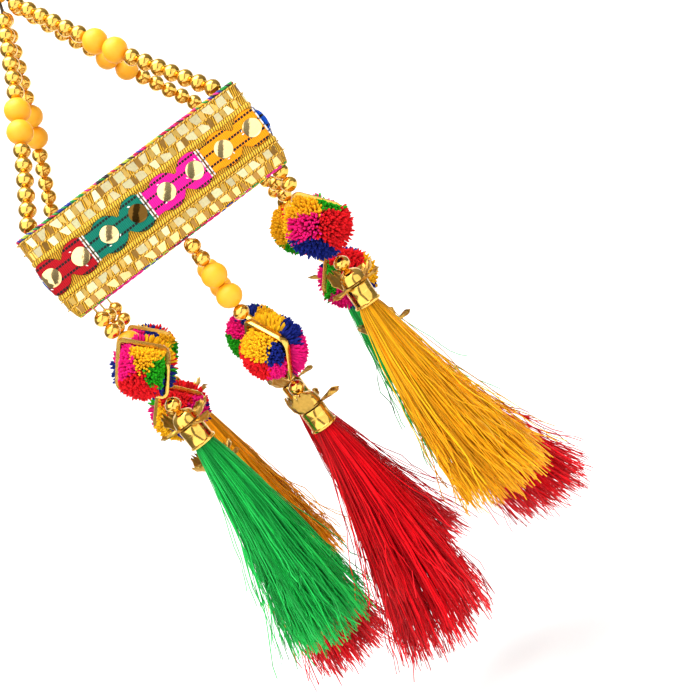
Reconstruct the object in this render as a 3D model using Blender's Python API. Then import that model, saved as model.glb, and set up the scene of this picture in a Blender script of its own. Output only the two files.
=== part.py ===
"""Jhoomar wall hanging: a square hoop of gold lace on four bead strings, with eight pompoms and tassels.

Metres, +Z up. The origin is where the hook bears, at the top of the hole of the wire ring.
The front side of the hoop faces -Y, and X runs along it.
"""
import math
import random

import bmesh
import bpy
from mathutils import Matrix, Vector

MM = 0.001
GAP = 0.3 * MM

# Top of the hanging
RING_R = 7.0 * MM
RING_WIRE = 0.9 * MM
EYE_R = 2.2 * MM
EYE_WIRE = 0.6 * MM

# Beads: radius across the hole and length along it
GOLD_R = 3.0 * MM
GOLD_LEN = 5.6 * MM
YELLOW_R = 5.0 * MM
YELLOW_LEN = 9.2 * MM
NECK_R = 0.8 * MM
BEAD_SIDES = 6
BEAD_ROUND = 1.05

# Square hoop of lace
HOOP_SIDE = 96.0 * MM
HOOP_HALF = HOOP_SIDE / 2
HOOP_CORNER = 2.5 * MM
LACE_DEEP = 33.0 * MM
LACE_THICK = 1.5 * MM
RIBBON_PROUD = 0.5 * MM
RIBBON_TOP = 9.4 * MM
RIBBON_LOW = 23.8 * MM
LOW_ROW = 28.8 * MM
LOW_TUCK = 1.2 * MM
LACE_WAVE = 0.45 * MM
EDGING_R = 0.5 * MM
SCALLOPS = 66
SCALLOP_DEEP = 1.5 * MM
SCALLOP_DIP = 0.7 * MM

# Bead strings from the yellow top bead down to the hoop's corners
STRING_RISE = 82.0 * MM
STRING_CORNER = 43.0 * MM
STRING_SAG = 1.8 * MM
STRING_START = 3.75 * MM
STRING_GOLD_R = 3.3 * MM
GOLD_ABOVE = 6

# Strands under the hoop
CORNER_X = 42.5 * MM
STRAND_IN = 41.9 * MM
LUG_TOP = 29.2 * MM
LUG_DEEP = 1.2 * MM
LUG_REACH = 3.22 * MM
PIN_R = 0.7 * MM
FIRST_BEAD = 34.6 * MM
REACH_CORNER = 65.0 * MM
REACH_MIDDLE = 89.0 * MM

# Frame round a pompom: one flat band bent into a square that stands on its corner
FRAME_HALF = 14.3 * MM
BAND_WIDTH = 3.0 * MM
BAND_THICK = 1.5 * MM
# Middle line of the band's right half: distance from the axis, height over the frame's middle
FRAME_LINE = ((1.6, 12.7), (9.6, 3.0), (11.2, 1.2), (11.6, 0.0), (11.2, -1.2), (9.6, -3.0), (1.6, -12.7))

# Pompom: angle from the top, radius inside the band, radius of a lobe in front of or behind it
POM_RINGS = ((32, 7.9, 11.9), (62, 7.6, 13.3), (90, 9.5, 13.6), (118, 7.6, 13.4), (148, 7.9, 12.0))
POM_POLE = 9.4 * MM
POM_CHANNEL = 1.95 * MM
POM_LOBE_TURNS = (30, 65, 115, 150)
POM_LOCK = 1.4 * MM
POM_LOCK_TIP = 0.62

# Cap under the cage, measured down from its gold bead's middle
CAP_SIDES = 8
BELL_TOP_R = 1.5 * MM
BELL_MID_R = 4.1 * MM
BELL_LOW_R = 4.9 * MM
BELL_LOW = 8.4 * MM
LEAF_THICK = 0.5 * MM
TUBE_TOP = 9.6 * MM
TUBE_LOW = 17.9 * MM
TUBE_R = 4.95 * MM
TUBE_BORE = 4.6 * MM
TUBE_RIM_R = 5.4 * MM
TUBE_RIM = 0.9 * MM
BORE_DEEP = 2.0 * MM
LEAF_COUNT = 4
LEAF_HOLE = 1.6 * MM
LEAF_ROOT_R = 5.1 * MM
LEAF_WIDE_R = 9.4 * MM
LEAF_TIP_R = 12.8 * MM
LEAF_NOTCH_R = 10.8 * MM
LEAF_HALF = 4.2 * MM
LEAF_FLUTE = 0.6 * MM

# Tassel
HEAD_R = 4.0 * MM
HEAD_DEEP = 2.3 * MM
STRAND_INSET = 0.12 * MM
CORNER_TASSEL = 92.0 * MM
MIDDLE_TASSEL = 97.0 * MM
LOCK_GROWTH = 2.3
LOCK_TIP = 0.55
TASSEL_LEVELS = (0.3, 0.66, 1.0)

SEED = 7

GREEN = (0.02, 0.42, 0.09, 1)
MARIGOLD = (1.0, 0.42, 0.01, 1)
ORANGE = (0.85, 0.26, 0.01, 1)
RED = (0.62, 0.01, 0.02, 1)

# Strand, place across and along the hoop, side that its lug meets, its shift along X and its drop (mm),
# lean of the strand to its tassel head (mm), turn of the frame, radii of the pompom's two lobes (mm),
# turn and lifts of the leaves (degrees), sway of the tassel's end (mm), its end radius (mm), its thread
STRANDS = (
    ("front_left", (-1, -1), (0, -1), 1.4, 4.0, (1.2, 0.5), -4, (12.0, 13.4), 8, (14, 40, 12, -4),
     (-6.0, -2.0), 18.0, "green"),
    ("front_middle", (0, -1), (0, -1), 1.2, 2.7, (-1.9, 0.3), -55, (11.2, 14.6), 45, (20, 62, 58, -2),
     (-8.0, -4.0), 20.5, "red"),
    ("front_right", (1, -1), (0, -1), 0.6, 0.2, (-3.4, 0.6), 5, (14.2, 12.6), 12, (16, 50, 0, 8),
     (7.0, -3.0), 18.5, "marigold"),
    ("side_left", (-1, 0), (-1, 0), 0.0, 5.1, (-3.3, 0.4), -2, (12.4, 13.6), 20, (18, 45, 30, 5),
     (1.0, 3.0), 17.5, "red"),
    ("side_right", (1, 0), (1, 0), 0.0, 3.0, (0.9, 0.4), -5, (13.5, 13.2), 30, (22, 40, 26, 6),
     (14.0, 2.0), 19.0, "red"),
    ("back_left", (-1, 1), (0, 1), 0.0, 5.0, (0.6, -0.8), 5, (13.5, 13.4), 20, (15, 35, 20, 0),
     (-3.0, 3.0), 16.5, "orange"),
    ("back_middle", (0, 1), (0, 1), 0.0, 2.5, (-2.3, -0.5), -70, (13.2, 13.5), 35, (20, 48, 40, 4),
     (8.0, 2.0), 18.5, "red"),
    ("back_right", (1, 1), (0, 1), 0.0, 0.3, (0.6, -0.6), -60, (13.6, 13.3), 70, (18, 30, 45, 2),
     (2.0, 3.0), 17.0, "green"),
)

# Bead string, corner, gold beads under its yellow pair, bare thread above its beads and below them (mm)
STRINGS = (
    ("front_left", (-1, -1), 6, 8.6, 0.9),
    ("front_right", (1, -1), 7, 5.5, 0.9),
    ("back_left", (-1, 1), 6, 6.4, 2.0),
    ("back_right", (1, 1), 6, 5.6, 2.4),
)


def material(name, colour, roughness, metallic=0.0):
    """Make a plain Principled material."""
    made = bpy.data.materials.new(name)
    made.use_nodes = True
    shader = made.node_tree.nodes["Principled BSDF"]
    shader.inputs["Base Color"].default_value = colour
    shader.inputs["Roughness"].default_value = roughness
    shader.inputs["Metallic"].default_value = metallic
    return made


def finish_mesh(bm, name, sharp=35):
    """Turn a bmesh into a mesh with outward faces and smooth round parts."""
    bmesh.ops.recalc_face_normals(bm, faces=bm.faces[:])
    mesh = bpy.data.meshes.new(name)
    bm.to_mesh(mesh)
    bm.free()
    mesh.shade_smooth()
    mesh.set_sharp_from_angle(angle=math.radians(sharp))
    return mesh


def place(name, mesh, finish, parent=None, location=(0, 0, 0), turn=0.0):
    """Add one named object with its material, under a strand's empty where it has one."""
    obj = bpy.data.objects.new(name, mesh)
    bpy.context.scene.collection.objects.link(obj)
    obj.parent = parent
    obj.location = location
    obj.rotation_euler = (0, 0, math.radians(turn))
    if not mesh.materials:
        mesh.materials.append(finish)
    return obj


def loft(bm, rings, closed=False):
    """Join rings of vertices by quads. Open lofts get an end face at both ends."""
    pairs = list(zip(rings, rings[1:]))
    if closed:
        pairs.append((rings[-1], rings[0]))
    for low, high in pairs:
        count = len(low)
        for i in range(count):
            j = (i + 1) % count
            bm.faces.new((low[i], low[j], high[j], high[i]))
    if not closed:
        bm.faces.new(rings[0])
        bm.faces.new(rings[-1])


def frame_ring(bm, middle, along, radius, sides, first=0.0):
    """A ring of vertices round a middle point, square to a direction."""
    along = along.normalized()
    side = along.cross(Vector((0, 0, 1)))
    if side.length < 1e-3:
        side = Vector((1, 0, 0))
    side.normalize()
    other = along.cross(side)
    ring = []
    for i in range(sides):
        angle = first + 2 * math.pi * i / sides
        ring.append(bm.verts.new(middle + radius * (math.cos(angle) * side + math.sin(angle) * other)))
    return ring


def turned(profile, sides, first=0.0):
    """A body turned about Z from a list of (radius, height), top to bottom."""
    bm = bmesh.new()
    rings = []
    for radius, height in profile:
        ring = []
        for i in range(sides):
            angle = first + 2 * math.pi * i / sides
            ring.append(bm.verts.new((radius * math.cos(angle), radius * math.sin(angle), height)))
        rings.append(ring)
    loft(bm, rings)
    return bm


def bead_stations(start, beads):
    """Distance and radius of each ring along a row of beads that starts at a distance."""
    stations = [(start, NECK_R)]
    at = start
    for radius, length in beads:
        stations.append((at + 0.24 * length, radius * 0.94 * BEAD_ROUND))
        stations.append((at + 0.76 * length, radius * 0.94 * BEAD_ROUND))
        at += length
        stations.append((at, NECK_R))
    return stations


def draw_out(bm, face, rings):
    """Pull a face out through rings of points, in its own place and with nothing left inside."""
    last = list(face.verts)
    bm.faces.remove(face)
    for points in rings:
        ring = [bm.verts.new(point) for point in points]
        for i in range(len(ring)):
            j = (i + 1) % len(ring)
            bm.faces.new((last[i], last[j], ring[j], ring[i]))
        last = ring
    bm.faces.new(last)


def torus(bm, radius, wire, matrix, around, sides):
    """A closed wire ring about Z, then moved by a matrix."""
    rings = []
    for i in range(around):
        turn = Matrix.Rotation(2 * math.pi * i / around, 4, "Z")
        ring = []
        for k in range(sides):
            angle = 2 * math.pi * k / sides
            point = Vector((radius + wire * math.cos(angle), 0, wire * math.sin(angle)))
            ring.append(bm.verts.new(matrix @ turn @ point))
        rings.append(ring)
    loft(bm, rings, closed=True)


def hoop_point(way, inset, drop):
    """Point on the rounded square, from its share of the way round, its inset and its height."""
    half = HOOP_HALF - inset
    corner = max(HOOP_CORNER - inset, 0.3 * MM)
    straight = 2 * (half - corner)
    arc = math.pi * corner / 2
    quarter = (way * 4) % 4
    side = int(quarter)
    along = (quarter - side) * (straight + arc)
    if along < straight:
        share = along / straight
        wave = LACE_WAVE * math.sin(2 * math.pi * share) ** 2
        point = Vector((along - straight / 2, -half - wave, drop))
    else:
        angle = (along - straight) / corner - math.pi / 2
        middle = half - corner
        point = Vector((middle + corner * math.cos(angle), corner * math.sin(angle) - middle, drop))
    return Matrix.Rotation(side * math.pi / 2, 4, "Z") @ point


def hoop_ways(per_side, per_corner):
    """Shares of the way round with a few points on each side and each corner."""
    straight = 2 * (HOOP_HALF - HOOP_CORNER)
    split = straight / (straight + math.pi * HOOP_CORNER / 2)
    ways = []
    for side in range(4):
        for i in range(per_side):
            ways.append((side + split * i / per_side) / 4)
        for i in range(per_corner):
            ways.append((side + split + (1 - split) * i / per_corner) / 4)
    return ways


def hoop_body(ways, section):
    """Sweep a closed section of (inset, height) round the hoop."""
    bm = bmesh.new()
    rings = []
    for way in ways:
        rings.append([bm.verts.new(hoop_point(way, inset, height)) for inset, height in section])
    loft(bm, rings, closed=True)
    return bm


def heights():
    """Heights of the top pieces and of the hoop's upper edge, from the hook downwards."""
    ring_middle = -(RING_R - RING_WIRE)
    ring_low = ring_middle - RING_R
    eye_middle = ring_low + RING_WIRE + EYE_WIRE + GAP - EYE_R
    gold = eye_middle - EYE_R - GOLD_LEN / 2
    yellow = gold - GOLD_LEN / 2 - GAP - YELLOW_LEN / 2
    knot = yellow - YELLOW_LEN / 2 + 2.7 * MM
    hoop = knot - STRING_RISE
    return ring_middle, eye_middle, gold, yellow, knot, hoop


def build_top(gold, yellow_finish):
    """Wire ring, gold bead with its eye, and the yellow bead where the strings meet."""
    ring_middle, eye_middle, gold_z, yellow_z, knot, hoop = heights()
    upright = Matrix.Rotation(math.pi / 2, 4, "X")
    bm = bmesh.new()
    torus(bm, RING_R, RING_WIRE, Matrix.Translation((0, 0, ring_middle)) @ upright, 20, 6)
    place("hang_ring", finish_mesh(bm, "hang_ring"), gold)

    bm = bmesh.new()
    across = Matrix.Rotation(math.pi / 2, 4, "Z") @ upright
    torus(bm, EYE_R, EYE_WIRE, Matrix.Translation((0, 0, eye_middle)) @ across, 12, 6)
    eye_mesh = finish_mesh(bm, "top_eye")
    eye = place("cutter_eye", eye_mesh, gold)
    profile = []
    for distance, radius in bead_stations(0.0, ((GOLD_R, GOLD_LEN),)):
        profile.append((radius * 1.2 if radius == NECK_R else radius, GOLD_LEN / 2 - distance))
    bead = place("top_bead_gold", finish_mesh(turned(profile, 8), "top_bead_gold"), gold)
    bead.location = (0, 0, gold_z)
    join = bead.modifiers.new("eye", "BOOLEAN")
    join.operation = "UNION"
    join.solver = "EXACT"
    join.object = eye
    eye.hide_render = True
    eye.display_type = "WIRE"

    profile = []
    for share, radius in ((0.5, 0.3), (0.36, 0.72), (0.13, 1.0), (-0.13, 1.0), (-0.36, 0.72), (-0.5, 0.3)):
        profile.append((radius * YELLOW_R, share * YELLOW_LEN))
    bead = place("top_bead_yellow", finish_mesh(turned(profile, 10), "top_bead_yellow"), yellow_finish)
    bead.location = (0, 0, yellow_z)


def build_strings(gold):
    """Four rows of beads, each one sagging a little towards the axis."""
    knot, hoop = heights()[4:]
    for name, corner, gold_below, first, last in STRINGS:
        top = Vector((0, 0, knot))
        end = Vector((corner[0] * STRING_CORNER, corner[1] * STRING_CORNER, hoop + 0.5 * MM))
        chord = end - top
        length = chord.length
        inward = Vector((-corner[0], -corner[1], -chord.xy.length * math.sqrt(2) / -chord.z)).normalized()
        room = length - (first + last) * MM - 2 * YELLOW_LEN
        gold_length = room / (GOLD_ABOVE + gold_below)
        beads = [(STRING_GOLD_R, gold_length)] * GOLD_ABOVE + [(YELLOW_R, YELLOW_LEN)] * 2
        beads += [(STRING_GOLD_R, gold_length)] * gold_below
        stations = [(STRING_START, NECK_R * 0.8)] + bead_stations(first * MM, beads)
        bm = bmesh.new()
        rings = []
        for distance, radius in stations:
            share = distance / length
            middle = top + share * chord + 4 * share * (1 - share) * STRING_SAG * inward
            rings.append(frame_ring(bm, middle, chord, radius, BEAD_SIDES))
        tuck = Vector((corner[0] * 45.0 * MM, corner[1] * 45.0 * MM, hoop - 1.0 * MM))
        rings.append(frame_ring(bm, tuck, chord + Vector((0, 0, -chord.length)), PIN_R, BEAD_SIDES))
        rings.append(frame_ring(bm, tuck + Vector((0, 0, -3.5 * MM)), Vector((0, 0, -1)), PIN_R, BEAD_SIDES))
        loft(bm, rings)
        place("string_" + name, finish_mesh(bm, "string_" + name, 70), gold)


def build_hoop(lace, thread):
    """The lace band, one sheet with its proud ribbon and tucked lower row, and its two edgings."""
    hoop = heights()[5]
    section = [
        (0, hoop),
        (0, hoop - RIBBON_TOP),
        (-RIBBON_PROUD, hoop - RIBBON_TOP - RIBBON_PROUD),
        (-RIBBON_PROUD, hoop - RIBBON_LOW + RIBBON_PROUD),
        (0, hoop - RIBBON_LOW),
        (0, hoop - LOW_ROW),
        (LOW_TUCK, hoop - LACE_DEEP),
        (LOW_TUCK + LACE_THICK, hoop - LACE_DEEP),
        (LACE_THICK, hoop - LOW_ROW),
        (LACE_THICK, hoop),
    ]
    place("lace_band", finish_mesh(hoop_body(hoop_ways(5, 3), section), "lace_band"), lace)

    middle = LACE_THICK / 2
    line = hoop + GAP + EDGING_R
    square = [
        (middle, line + EDGING_R),
        (middle - EDGING_R, line),
        (middle, line - EDGING_R),
        (middle + EDGING_R, line),
    ]
    place("edging_top", finish_mesh(hoop_body(hoop_ways(5, 3), square), "edging_top"), thread)

    bm = bmesh.new()
    rings = []
    top = hoop - LACE_DEEP - GAP
    for i in range(2 * SCALLOPS):
        deep = SCALLOP_DEEP if i % 2 else SCALLOP_DIP
        way = i / (2 * SCALLOPS)
        section = ((LOW_TUCK, top), (LOW_TUCK + 0.3 * MM, top - deep), (LOW_TUCK + 1.1 * MM, top))
        rings.append([bm.verts.new(hoop_point(way, inset, height)) for inset, height in section])
    loft(bm, rings, closed=True)
    place("edging_bottom", finish_mesh(bm, "edging_bottom", 20), thread)


def bead_run_mesh(name, middle_strand, drop, lug_side):
    """The beads at the top of a strand, hung by a pin whose lug meets the inside of the lace."""
    beads = [(GOLD_R, GOLD_LEN)] * 2
    if middle_strand:
        beads += [(YELLOW_R, YELLOW_LEN)] * 2 + [(GOLD_R, GOLD_LEN)]
    start = FIRST_BEAD - LUG_TOP + drop - GOLD_LEN / 2
    stations = [(0.0, PIN_R), (LUG_DEEP, PIN_R)] + bead_stations(start, beads)
    facing = math.atan2(lug_side[1], lug_side[0])
    bm = turned([(radius, -distance) for distance, radius in stations], BEAD_SIDES, facing + math.pi / 6)
    outward = Vector((lug_side[0], lug_side[1], 0))
    bmesh.ops.recalc_face_normals(bm, faces=bm.faces[:])
    side_faces = [face for face in bm.faces if -LUG_DEEP < face.calc_center_median().z < 0]
    lug = max(side_faces, key=lambda face: face.normal.dot(outward))
    grown = bmesh.ops.extrude_discrete_faces(bm, faces=[lug])["faces"]
    bmesh.ops.translate(bm, verts=grown[0].verts[:], vec=outward * LUG_REACH)
    low = stations[-1][0]
    return finish_mesh(bm, name, 70), low


def cage_mesh():
    """A flat band bent round into a square standing on its corner, about its own middle."""
    right = [Vector((across * MM, height * MM)) for across, height in FRAME_LINE]
    left = [Vector((-point.x, point.y)) for point in reversed(right)]
    tip = FRAME_HALF - BAND_THICK / 2
    line = [Vector((0, tip))] + right + [Vector((0, -tip))] + left
    bm = bmesh.new()
    rings = []
    for i, point in enumerate(line):
        along = (line[(i + 1) % len(line)] - line[i - 1]).normalized()
        out = Vector((-along.y, along.x)) * BAND_THICK / 2
        ring = []
        for depth, width in ((1, -1), (1, 1), (-1, 1), (-1, -1)):
            place_at = point + depth * out
            ring.append(bm.verts.new((place_at.x, width * BAND_WIDTH / 2, place_at.y)))
        rings.append(ring)
    loft(bm, rings, closed=True)
    return finish_mesh(bm, "cage", 50)


def pompom_mesh(name, lobes, chance):
    """A yarn ball that the band pinches in two, with locks standing out of both lobes."""
    bm = bmesh.new()
    rings = []
    for angle, in_band, in_lobe in POM_RINGS:
        flat = math.sin(math.radians(angle))
        up = math.cos(math.radians(angle))
        ring = []
        for lobe in (0, 1):
            facing = -1 if lobe == 0 else 1
            edge = in_band * MM
            ring.append(bm.verts.new((facing * edge * flat, facing * POM_CHANNEL, edge * up)))
            for turn in POM_LOBE_TURNS:
                radius = in_lobe * lobes[lobe] / POM_RINGS[2][2] + chance.uniform(-0.3, 0.3)
                swing = math.radians(turn)
                across = radius * MM * flat
                spot = (facing * across * math.cos(swing), facing * across * math.sin(swing), radius * MM * up)
                ring.append(bm.verts.new(spot))
            ring.append(bm.verts.new((-facing * edge * flat, facing * POM_CHANNEL, edge * up)))
        rings.append(ring)
    columns = len(rings[0])
    for upper, lower in zip(rings, rings[1:]):
        for i in range(columns):
            j = (i + 1) % columns
            bm.faces.new((upper[i], upper[j], lower[j], lower[i]))
    for pole, ring in ((POM_POLE, rings[0]), (-POM_POLE, rings[-1])):
        tip = bm.verts.new((0, 0, pole))
        for i in range(columns):
            bm.faces.new((tip, ring[i], ring[(i + 1) % columns]))
    bmesh.ops.recalc_face_normals(bm, faces=bm.faces[:])
    locks = []
    for face in bm.faces:
        middle = face.calc_center_median()
        if abs(middle.y) > 8 * MM and len(face.verts) == 4 and abs(middle.z) < 5 * MM:
            locks.append(face)
    for face in bmesh.ops.extrude_discrete_faces(bm, faces=locks)["faces"]:
        middle = face.calc_center_median()
        out = middle.normalized() * POM_LOCK * chance.uniform(0.8, 1.2)
        for vert in face.verts:
            vert.co = middle + POM_LOCK_TIP * (vert.co - middle) + out
    return finish_mesh(bm, name, 30)


def cap_mesh():
    """Gold bead, bell, neck for the leaves, and the tube with its rim and bore, as one turned piece."""
    shoulder = GOLD_R * 0.94 * BEAD_ROUND
    profile = (
        (NECK_R, GOLD_LEN / 2),
        (shoulder, 0.26 * GOLD_LEN),
        (shoulder, -0.26 * GOLD_LEN),
        (NECK_R, -GOLD_LEN / 2),
        (BELL_TOP_R, -GOLD_LEN / 2 - 0.4 * MM),
        (BELL_MID_R, -0.55 * BELL_LOW),
        (BELL_LOW_R, -BELL_LOW),
        (LEAF_HOLE - 0.5 * MM, -BELL_LOW),
        (LEAF_HOLE - 0.5 * MM, -TUBE_TOP),
        (TUBE_R, -TUBE_TOP),
        (TUBE_R, -TUBE_LOW + TUBE_RIM),
        (TUBE_RIM_R, -TUBE_LOW + 0.7 * TUBE_RIM),
        (TUBE_RIM_R, -TUBE_LOW),
        (TUBE_BORE, -TUBE_LOW),
        (TUBE_BORE, -TUBE_LOW + BORE_DEEP),
    )
    return finish_mesh(turned(profile, CAP_SIDES), "cap", 40)


def leaf_mesh(name, lifts):
    """Four pressed leaves round a hole, each with a forked tip and its own lift in degrees."""
    bm = bmesh.new()
    columns = 3 * LEAF_COUNT
    step = 2 * math.pi / columns
    inner = []
    outer = []
    for i in range(columns):
        for radius, ring in ((LEAF_HOLE, inner), (LEAF_ROOT_R, outer)):
            ring.append(bm.verts.new((radius * math.cos(i * step), radius * math.sin(i * step), 0)))
    for i in range(columns):
        j = (i + 1) % columns
        bm.faces.new((inner[i], outer[i], outer[j], inner[j]))
    for leaf in range(LEAF_COUNT):
        lift = math.radians(lifts[leaf])
        turn = Matrix.Rotation((3 * leaf + 1) * step, 4, "Z")

        def leaf_point(radius, across, flute):
            out = radius - LEAF_ROOT_R
            bow = 1.0 + 0.25 * out / (LEAF_TIP_R - LEAF_ROOT_R)
            flat = LEAF_ROOT_R + out * math.cos(lift * bow)
            return bm.verts.new(turn @ Vector((flat, across, out * math.sin(lift * bow) + flute)))

        roots = [outer[(3 * leaf + k) % columns] for k in range(3)]
        wide = [
            leaf_point(LEAF_WIDE_R, -LEAF_HALF, LEAF_FLUTE),
            leaf_point(LEAF_WIDE_R, 0, -LEAF_FLUTE),
            leaf_point(LEAF_WIDE_R, LEAF_HALF, LEAF_FLUTE),
        ]
        tips = [
            leaf_point(LEAF_TIP_R, -0.75 * LEAF_HALF, 0),
            leaf_point(LEAF_TIP_R - 0.9 * MM, 0.7 * LEAF_HALF, 0),
        ]
        notch = leaf_point(LEAF_NOTCH_R, 0, 0)
        for k in range(2):
            bm.faces.new((roots[k], wide[k], wide[k + 1], roots[k + 1]))
        bm.faces.new((wide[0], tips[0], notch, wide[1]))
        bm.faces.new((wide[1], notch, tips[1], wide[2]))
    return finish_mesh(bm, name, 20)


def add_thickness(obj, thickness):
    """Give a pressed sheet its thickness, half on either side."""
    thick = obj.modifiers.new("thickness", "SOLIDIFY")
    thick.thickness = thickness
    thick.offset = 0


def tassel_mesh(name, length, sway, end_radius, chance):
    """A twelve-sided head whose underside is drawn out into three-sided strands."""
    bm = bmesh.new()
    ring_top = []
    ring_low = []
    for i in range(12):
        angle = 2 * math.pi * i / 12
        flat = Vector((HEAD_R * math.cos(angle), HEAD_R * math.sin(angle), 0))
        ring_top.append(bm.verts.new(flat))
        ring_low.append(bm.verts.new(flat - Vector((0, 0, HEAD_DEEP))))
    bm.faces.new(ring_top)
    for i in range(12):
        j = (i + 1) % 12
        bm.faces.new((ring_top[i], ring_top[j], ring_low[j], ring_low[i]))
    middle = bm.verts.new((0, 0, -HEAD_DEEP))
    inner = []
    for i in range(6):
        angle = 2 * math.pi * i / 6
        reach = 0.5 * HEAD_R
        inner.append(bm.verts.new((reach * math.cos(angle), reach * math.sin(angle), -HEAD_DEEP)))
    roots = []
    for i in range(6):
        j = (i + 1) % 6
        roots.append(bm.faces.new((middle, inner[i], inner[j])))
        roots.append(bm.faces.new((inner[i], ring_low[2 * i], ring_low[2 * i + 1])))
        roots.append(bm.faces.new((inner[i], ring_low[2 * i + 1], inner[j])))
        roots.append(bm.faces.new((inner[j], ring_low[2 * i + 1], ring_low[(2 * i + 2) % 12])))
    bmesh.ops.recalc_face_normals(bm, faces=bm.faces[:])
    bmesh.ops.inset_individual(bm, faces=roots, thickness=STRAND_INSET, depth=0)
    for face in roots:
        centre = face.calc_center_median()
        offsets = [vert.co - centre for vert in face.verts]
        reach = length * chance.uniform(0.93, 1.03)
        rings = []
        for level in TASSEL_LEVELS:
            growth = 1 + LOCK_GROWTH * level
            if level == TASSEL_LEVELS[-1]:
                growth *= LOCK_TIP
            spread = 1 + (end_radius * MM / HEAD_R - 1) * level ** 0.9
            stray = 0.9 * MM * level
            x = centre.x * spread + sway[0] * MM * level ** 2 + chance.uniform(-stray, stray)
            y = centre.y * spread + sway[1] * MM * level ** 2 + chance.uniform(-stray, stray)
            at = Vector((x, y, -HEAD_DEEP - reach * level))
            rings.append([at + growth * offset for offset in offsets])
        draw_out(bm, face, rings)
    return finish_mesh(bm, name, 50)


def build_strands(gold, yarn, threads):
    """Eight strands: beads, cage, pompom, cap, leaves and tassel on one leaning axis each."""
    hoop = heights()[5]
    chance = random.Random(SEED)
    cage = cage_mesh()
    cap = cap_mesh()
    for strand in STRANDS:
        name, spot, lug_side, shift, drop, lean, frame_turn, lobes, leaf_turn, lifts = strand[:10]
        sway, end_radius, thread = strand[10:]
        middle_strand = 0 in spot
        x = spot[0] * (STRAND_IN if middle_strand else CORNER_X) + shift * MM
        y = spot[1] * STRAND_IN
        hanger = bpy.data.objects.new("strand_" + name, None)
        bpy.context.scene.collection.objects.link(hanger)
        hanger.location = (x, y, hoop - LUG_TOP)
        reach = REACH_MIDDLE if middle_strand else REACH_CORNER
        hanger.rotation_euler = (math.atan(lean[1] * MM / reach), -math.atan(lean[0] * MM / reach), 0)

        run, low = bead_run_mesh("beads_" + name, middle_strand, drop * MM, lug_side)
        place("beads_" + name, run, gold, hanger)
        cage_at = -low - GAP - FRAME_HALF
        place("cage_" + name, cage, gold, hanger, (0, 0, cage_at), frame_turn)
        pom = pompom_mesh("pompom_" + name, lobes, chance)
        place("pompom_" + name, pom, yarn, hanger, (0, 0, cage_at), frame_turn)
        cap_at = cage_at - FRAME_HALF - GAP - GOLD_LEN / 2
        place("cap_" + name, cap, gold, hanger, (0, 0, cap_at), leaf_turn)
        leaves_at = cap_at - (BELL_LOW + TUBE_TOP) / 2
        blades = leaf_mesh("leaves_" + name, lifts)
        leaves = place("leaves_" + name, blades, gold, hanger, (0, 0, leaves_at), leaf_turn)
        add_thickness(leaves, LEAF_THICK)
        length = MIDDLE_TASSEL if middle_strand else CORNER_TASSEL
        mesh = tassel_mesh("tassel_" + name, length, sway, end_radius, chance)
        head_at = cap_at - TUBE_LOW + BORE_DEEP - GAP
        place("tassel_" + name, mesh, threads[thread], hanger, (0, 0, head_at))


def main():
    """Clear the scene and build every piece."""
    for obj in list(bpy.data.objects):
        bpy.data.objects.remove(obj)
    gold = material("gold_plate", (0.9, 0.6, 0.14, 1), 0.18, 1.0)
    yellow = material("yellow_bead", (0.92, 0.46, 0.01, 1), 0.5)
    lace = material("gold_lace", (0.9, 0.62, 0.12, 1), 0.35, 0.6)
    edge = material("edge_thread", (0.6, 0.02, 0.2, 1), 0.6)
    yarn = material("pompom_yarn", (0.85, 0.4, 0.01, 1), 0.95)
    threads = {
        "green": material("green_thread", GREEN, 0.5),
        "red": material("red_thread", RED, 0.5),
        "marigold": material("marigold_thread", MARIGOLD, 0.5),
        "orange": material("orange_thread", ORANGE, 0.5),
    }
    build_top(gold, yellow)
    build_strings(gold)
    build_hoop(lace, edge)
    build_strands(gold, yarn, threads)
    bpy.context.view_layer.update()


main()
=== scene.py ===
"""Jhoomar wall hanging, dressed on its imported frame: beads, gold lace, pompoms in bands, caps and tassels.

Laid out as a Blender add-on and run as a script. Metres, in the frame's own coordinates.
"""

import math
import random

import bmesh
import bpy
from mathutils import Matrix, Vector


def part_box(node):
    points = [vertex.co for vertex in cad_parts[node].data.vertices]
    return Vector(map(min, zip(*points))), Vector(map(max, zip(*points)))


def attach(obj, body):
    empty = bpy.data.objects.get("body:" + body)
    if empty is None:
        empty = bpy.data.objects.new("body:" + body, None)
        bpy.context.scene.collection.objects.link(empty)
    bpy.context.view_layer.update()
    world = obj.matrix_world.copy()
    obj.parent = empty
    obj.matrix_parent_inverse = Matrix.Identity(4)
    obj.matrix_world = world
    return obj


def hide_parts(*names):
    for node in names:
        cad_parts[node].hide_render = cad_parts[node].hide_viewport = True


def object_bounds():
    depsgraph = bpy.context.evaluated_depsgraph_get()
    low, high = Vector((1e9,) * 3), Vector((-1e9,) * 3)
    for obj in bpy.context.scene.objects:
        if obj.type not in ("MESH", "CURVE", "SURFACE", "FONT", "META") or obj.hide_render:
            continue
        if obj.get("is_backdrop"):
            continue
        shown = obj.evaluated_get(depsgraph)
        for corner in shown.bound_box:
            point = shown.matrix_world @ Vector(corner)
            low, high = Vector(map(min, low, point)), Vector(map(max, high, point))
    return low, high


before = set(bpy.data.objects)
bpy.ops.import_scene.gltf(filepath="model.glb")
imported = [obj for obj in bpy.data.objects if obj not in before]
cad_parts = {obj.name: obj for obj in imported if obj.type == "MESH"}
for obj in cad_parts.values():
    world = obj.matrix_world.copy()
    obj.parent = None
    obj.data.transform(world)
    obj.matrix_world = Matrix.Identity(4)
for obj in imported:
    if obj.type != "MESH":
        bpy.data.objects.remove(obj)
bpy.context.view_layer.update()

bl_info = {
    "name": "Jhoomar wall hanging",
    "version": (1, 0, 0),
    "blender": (4, 5, 0),
    "location": "3D View > Sidebar > Jhoomar",
    "description": "Builds the beads, lace, pompoms, caps and tassels of a jhoomar wall hanging",
    "category": "Object",
}

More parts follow.
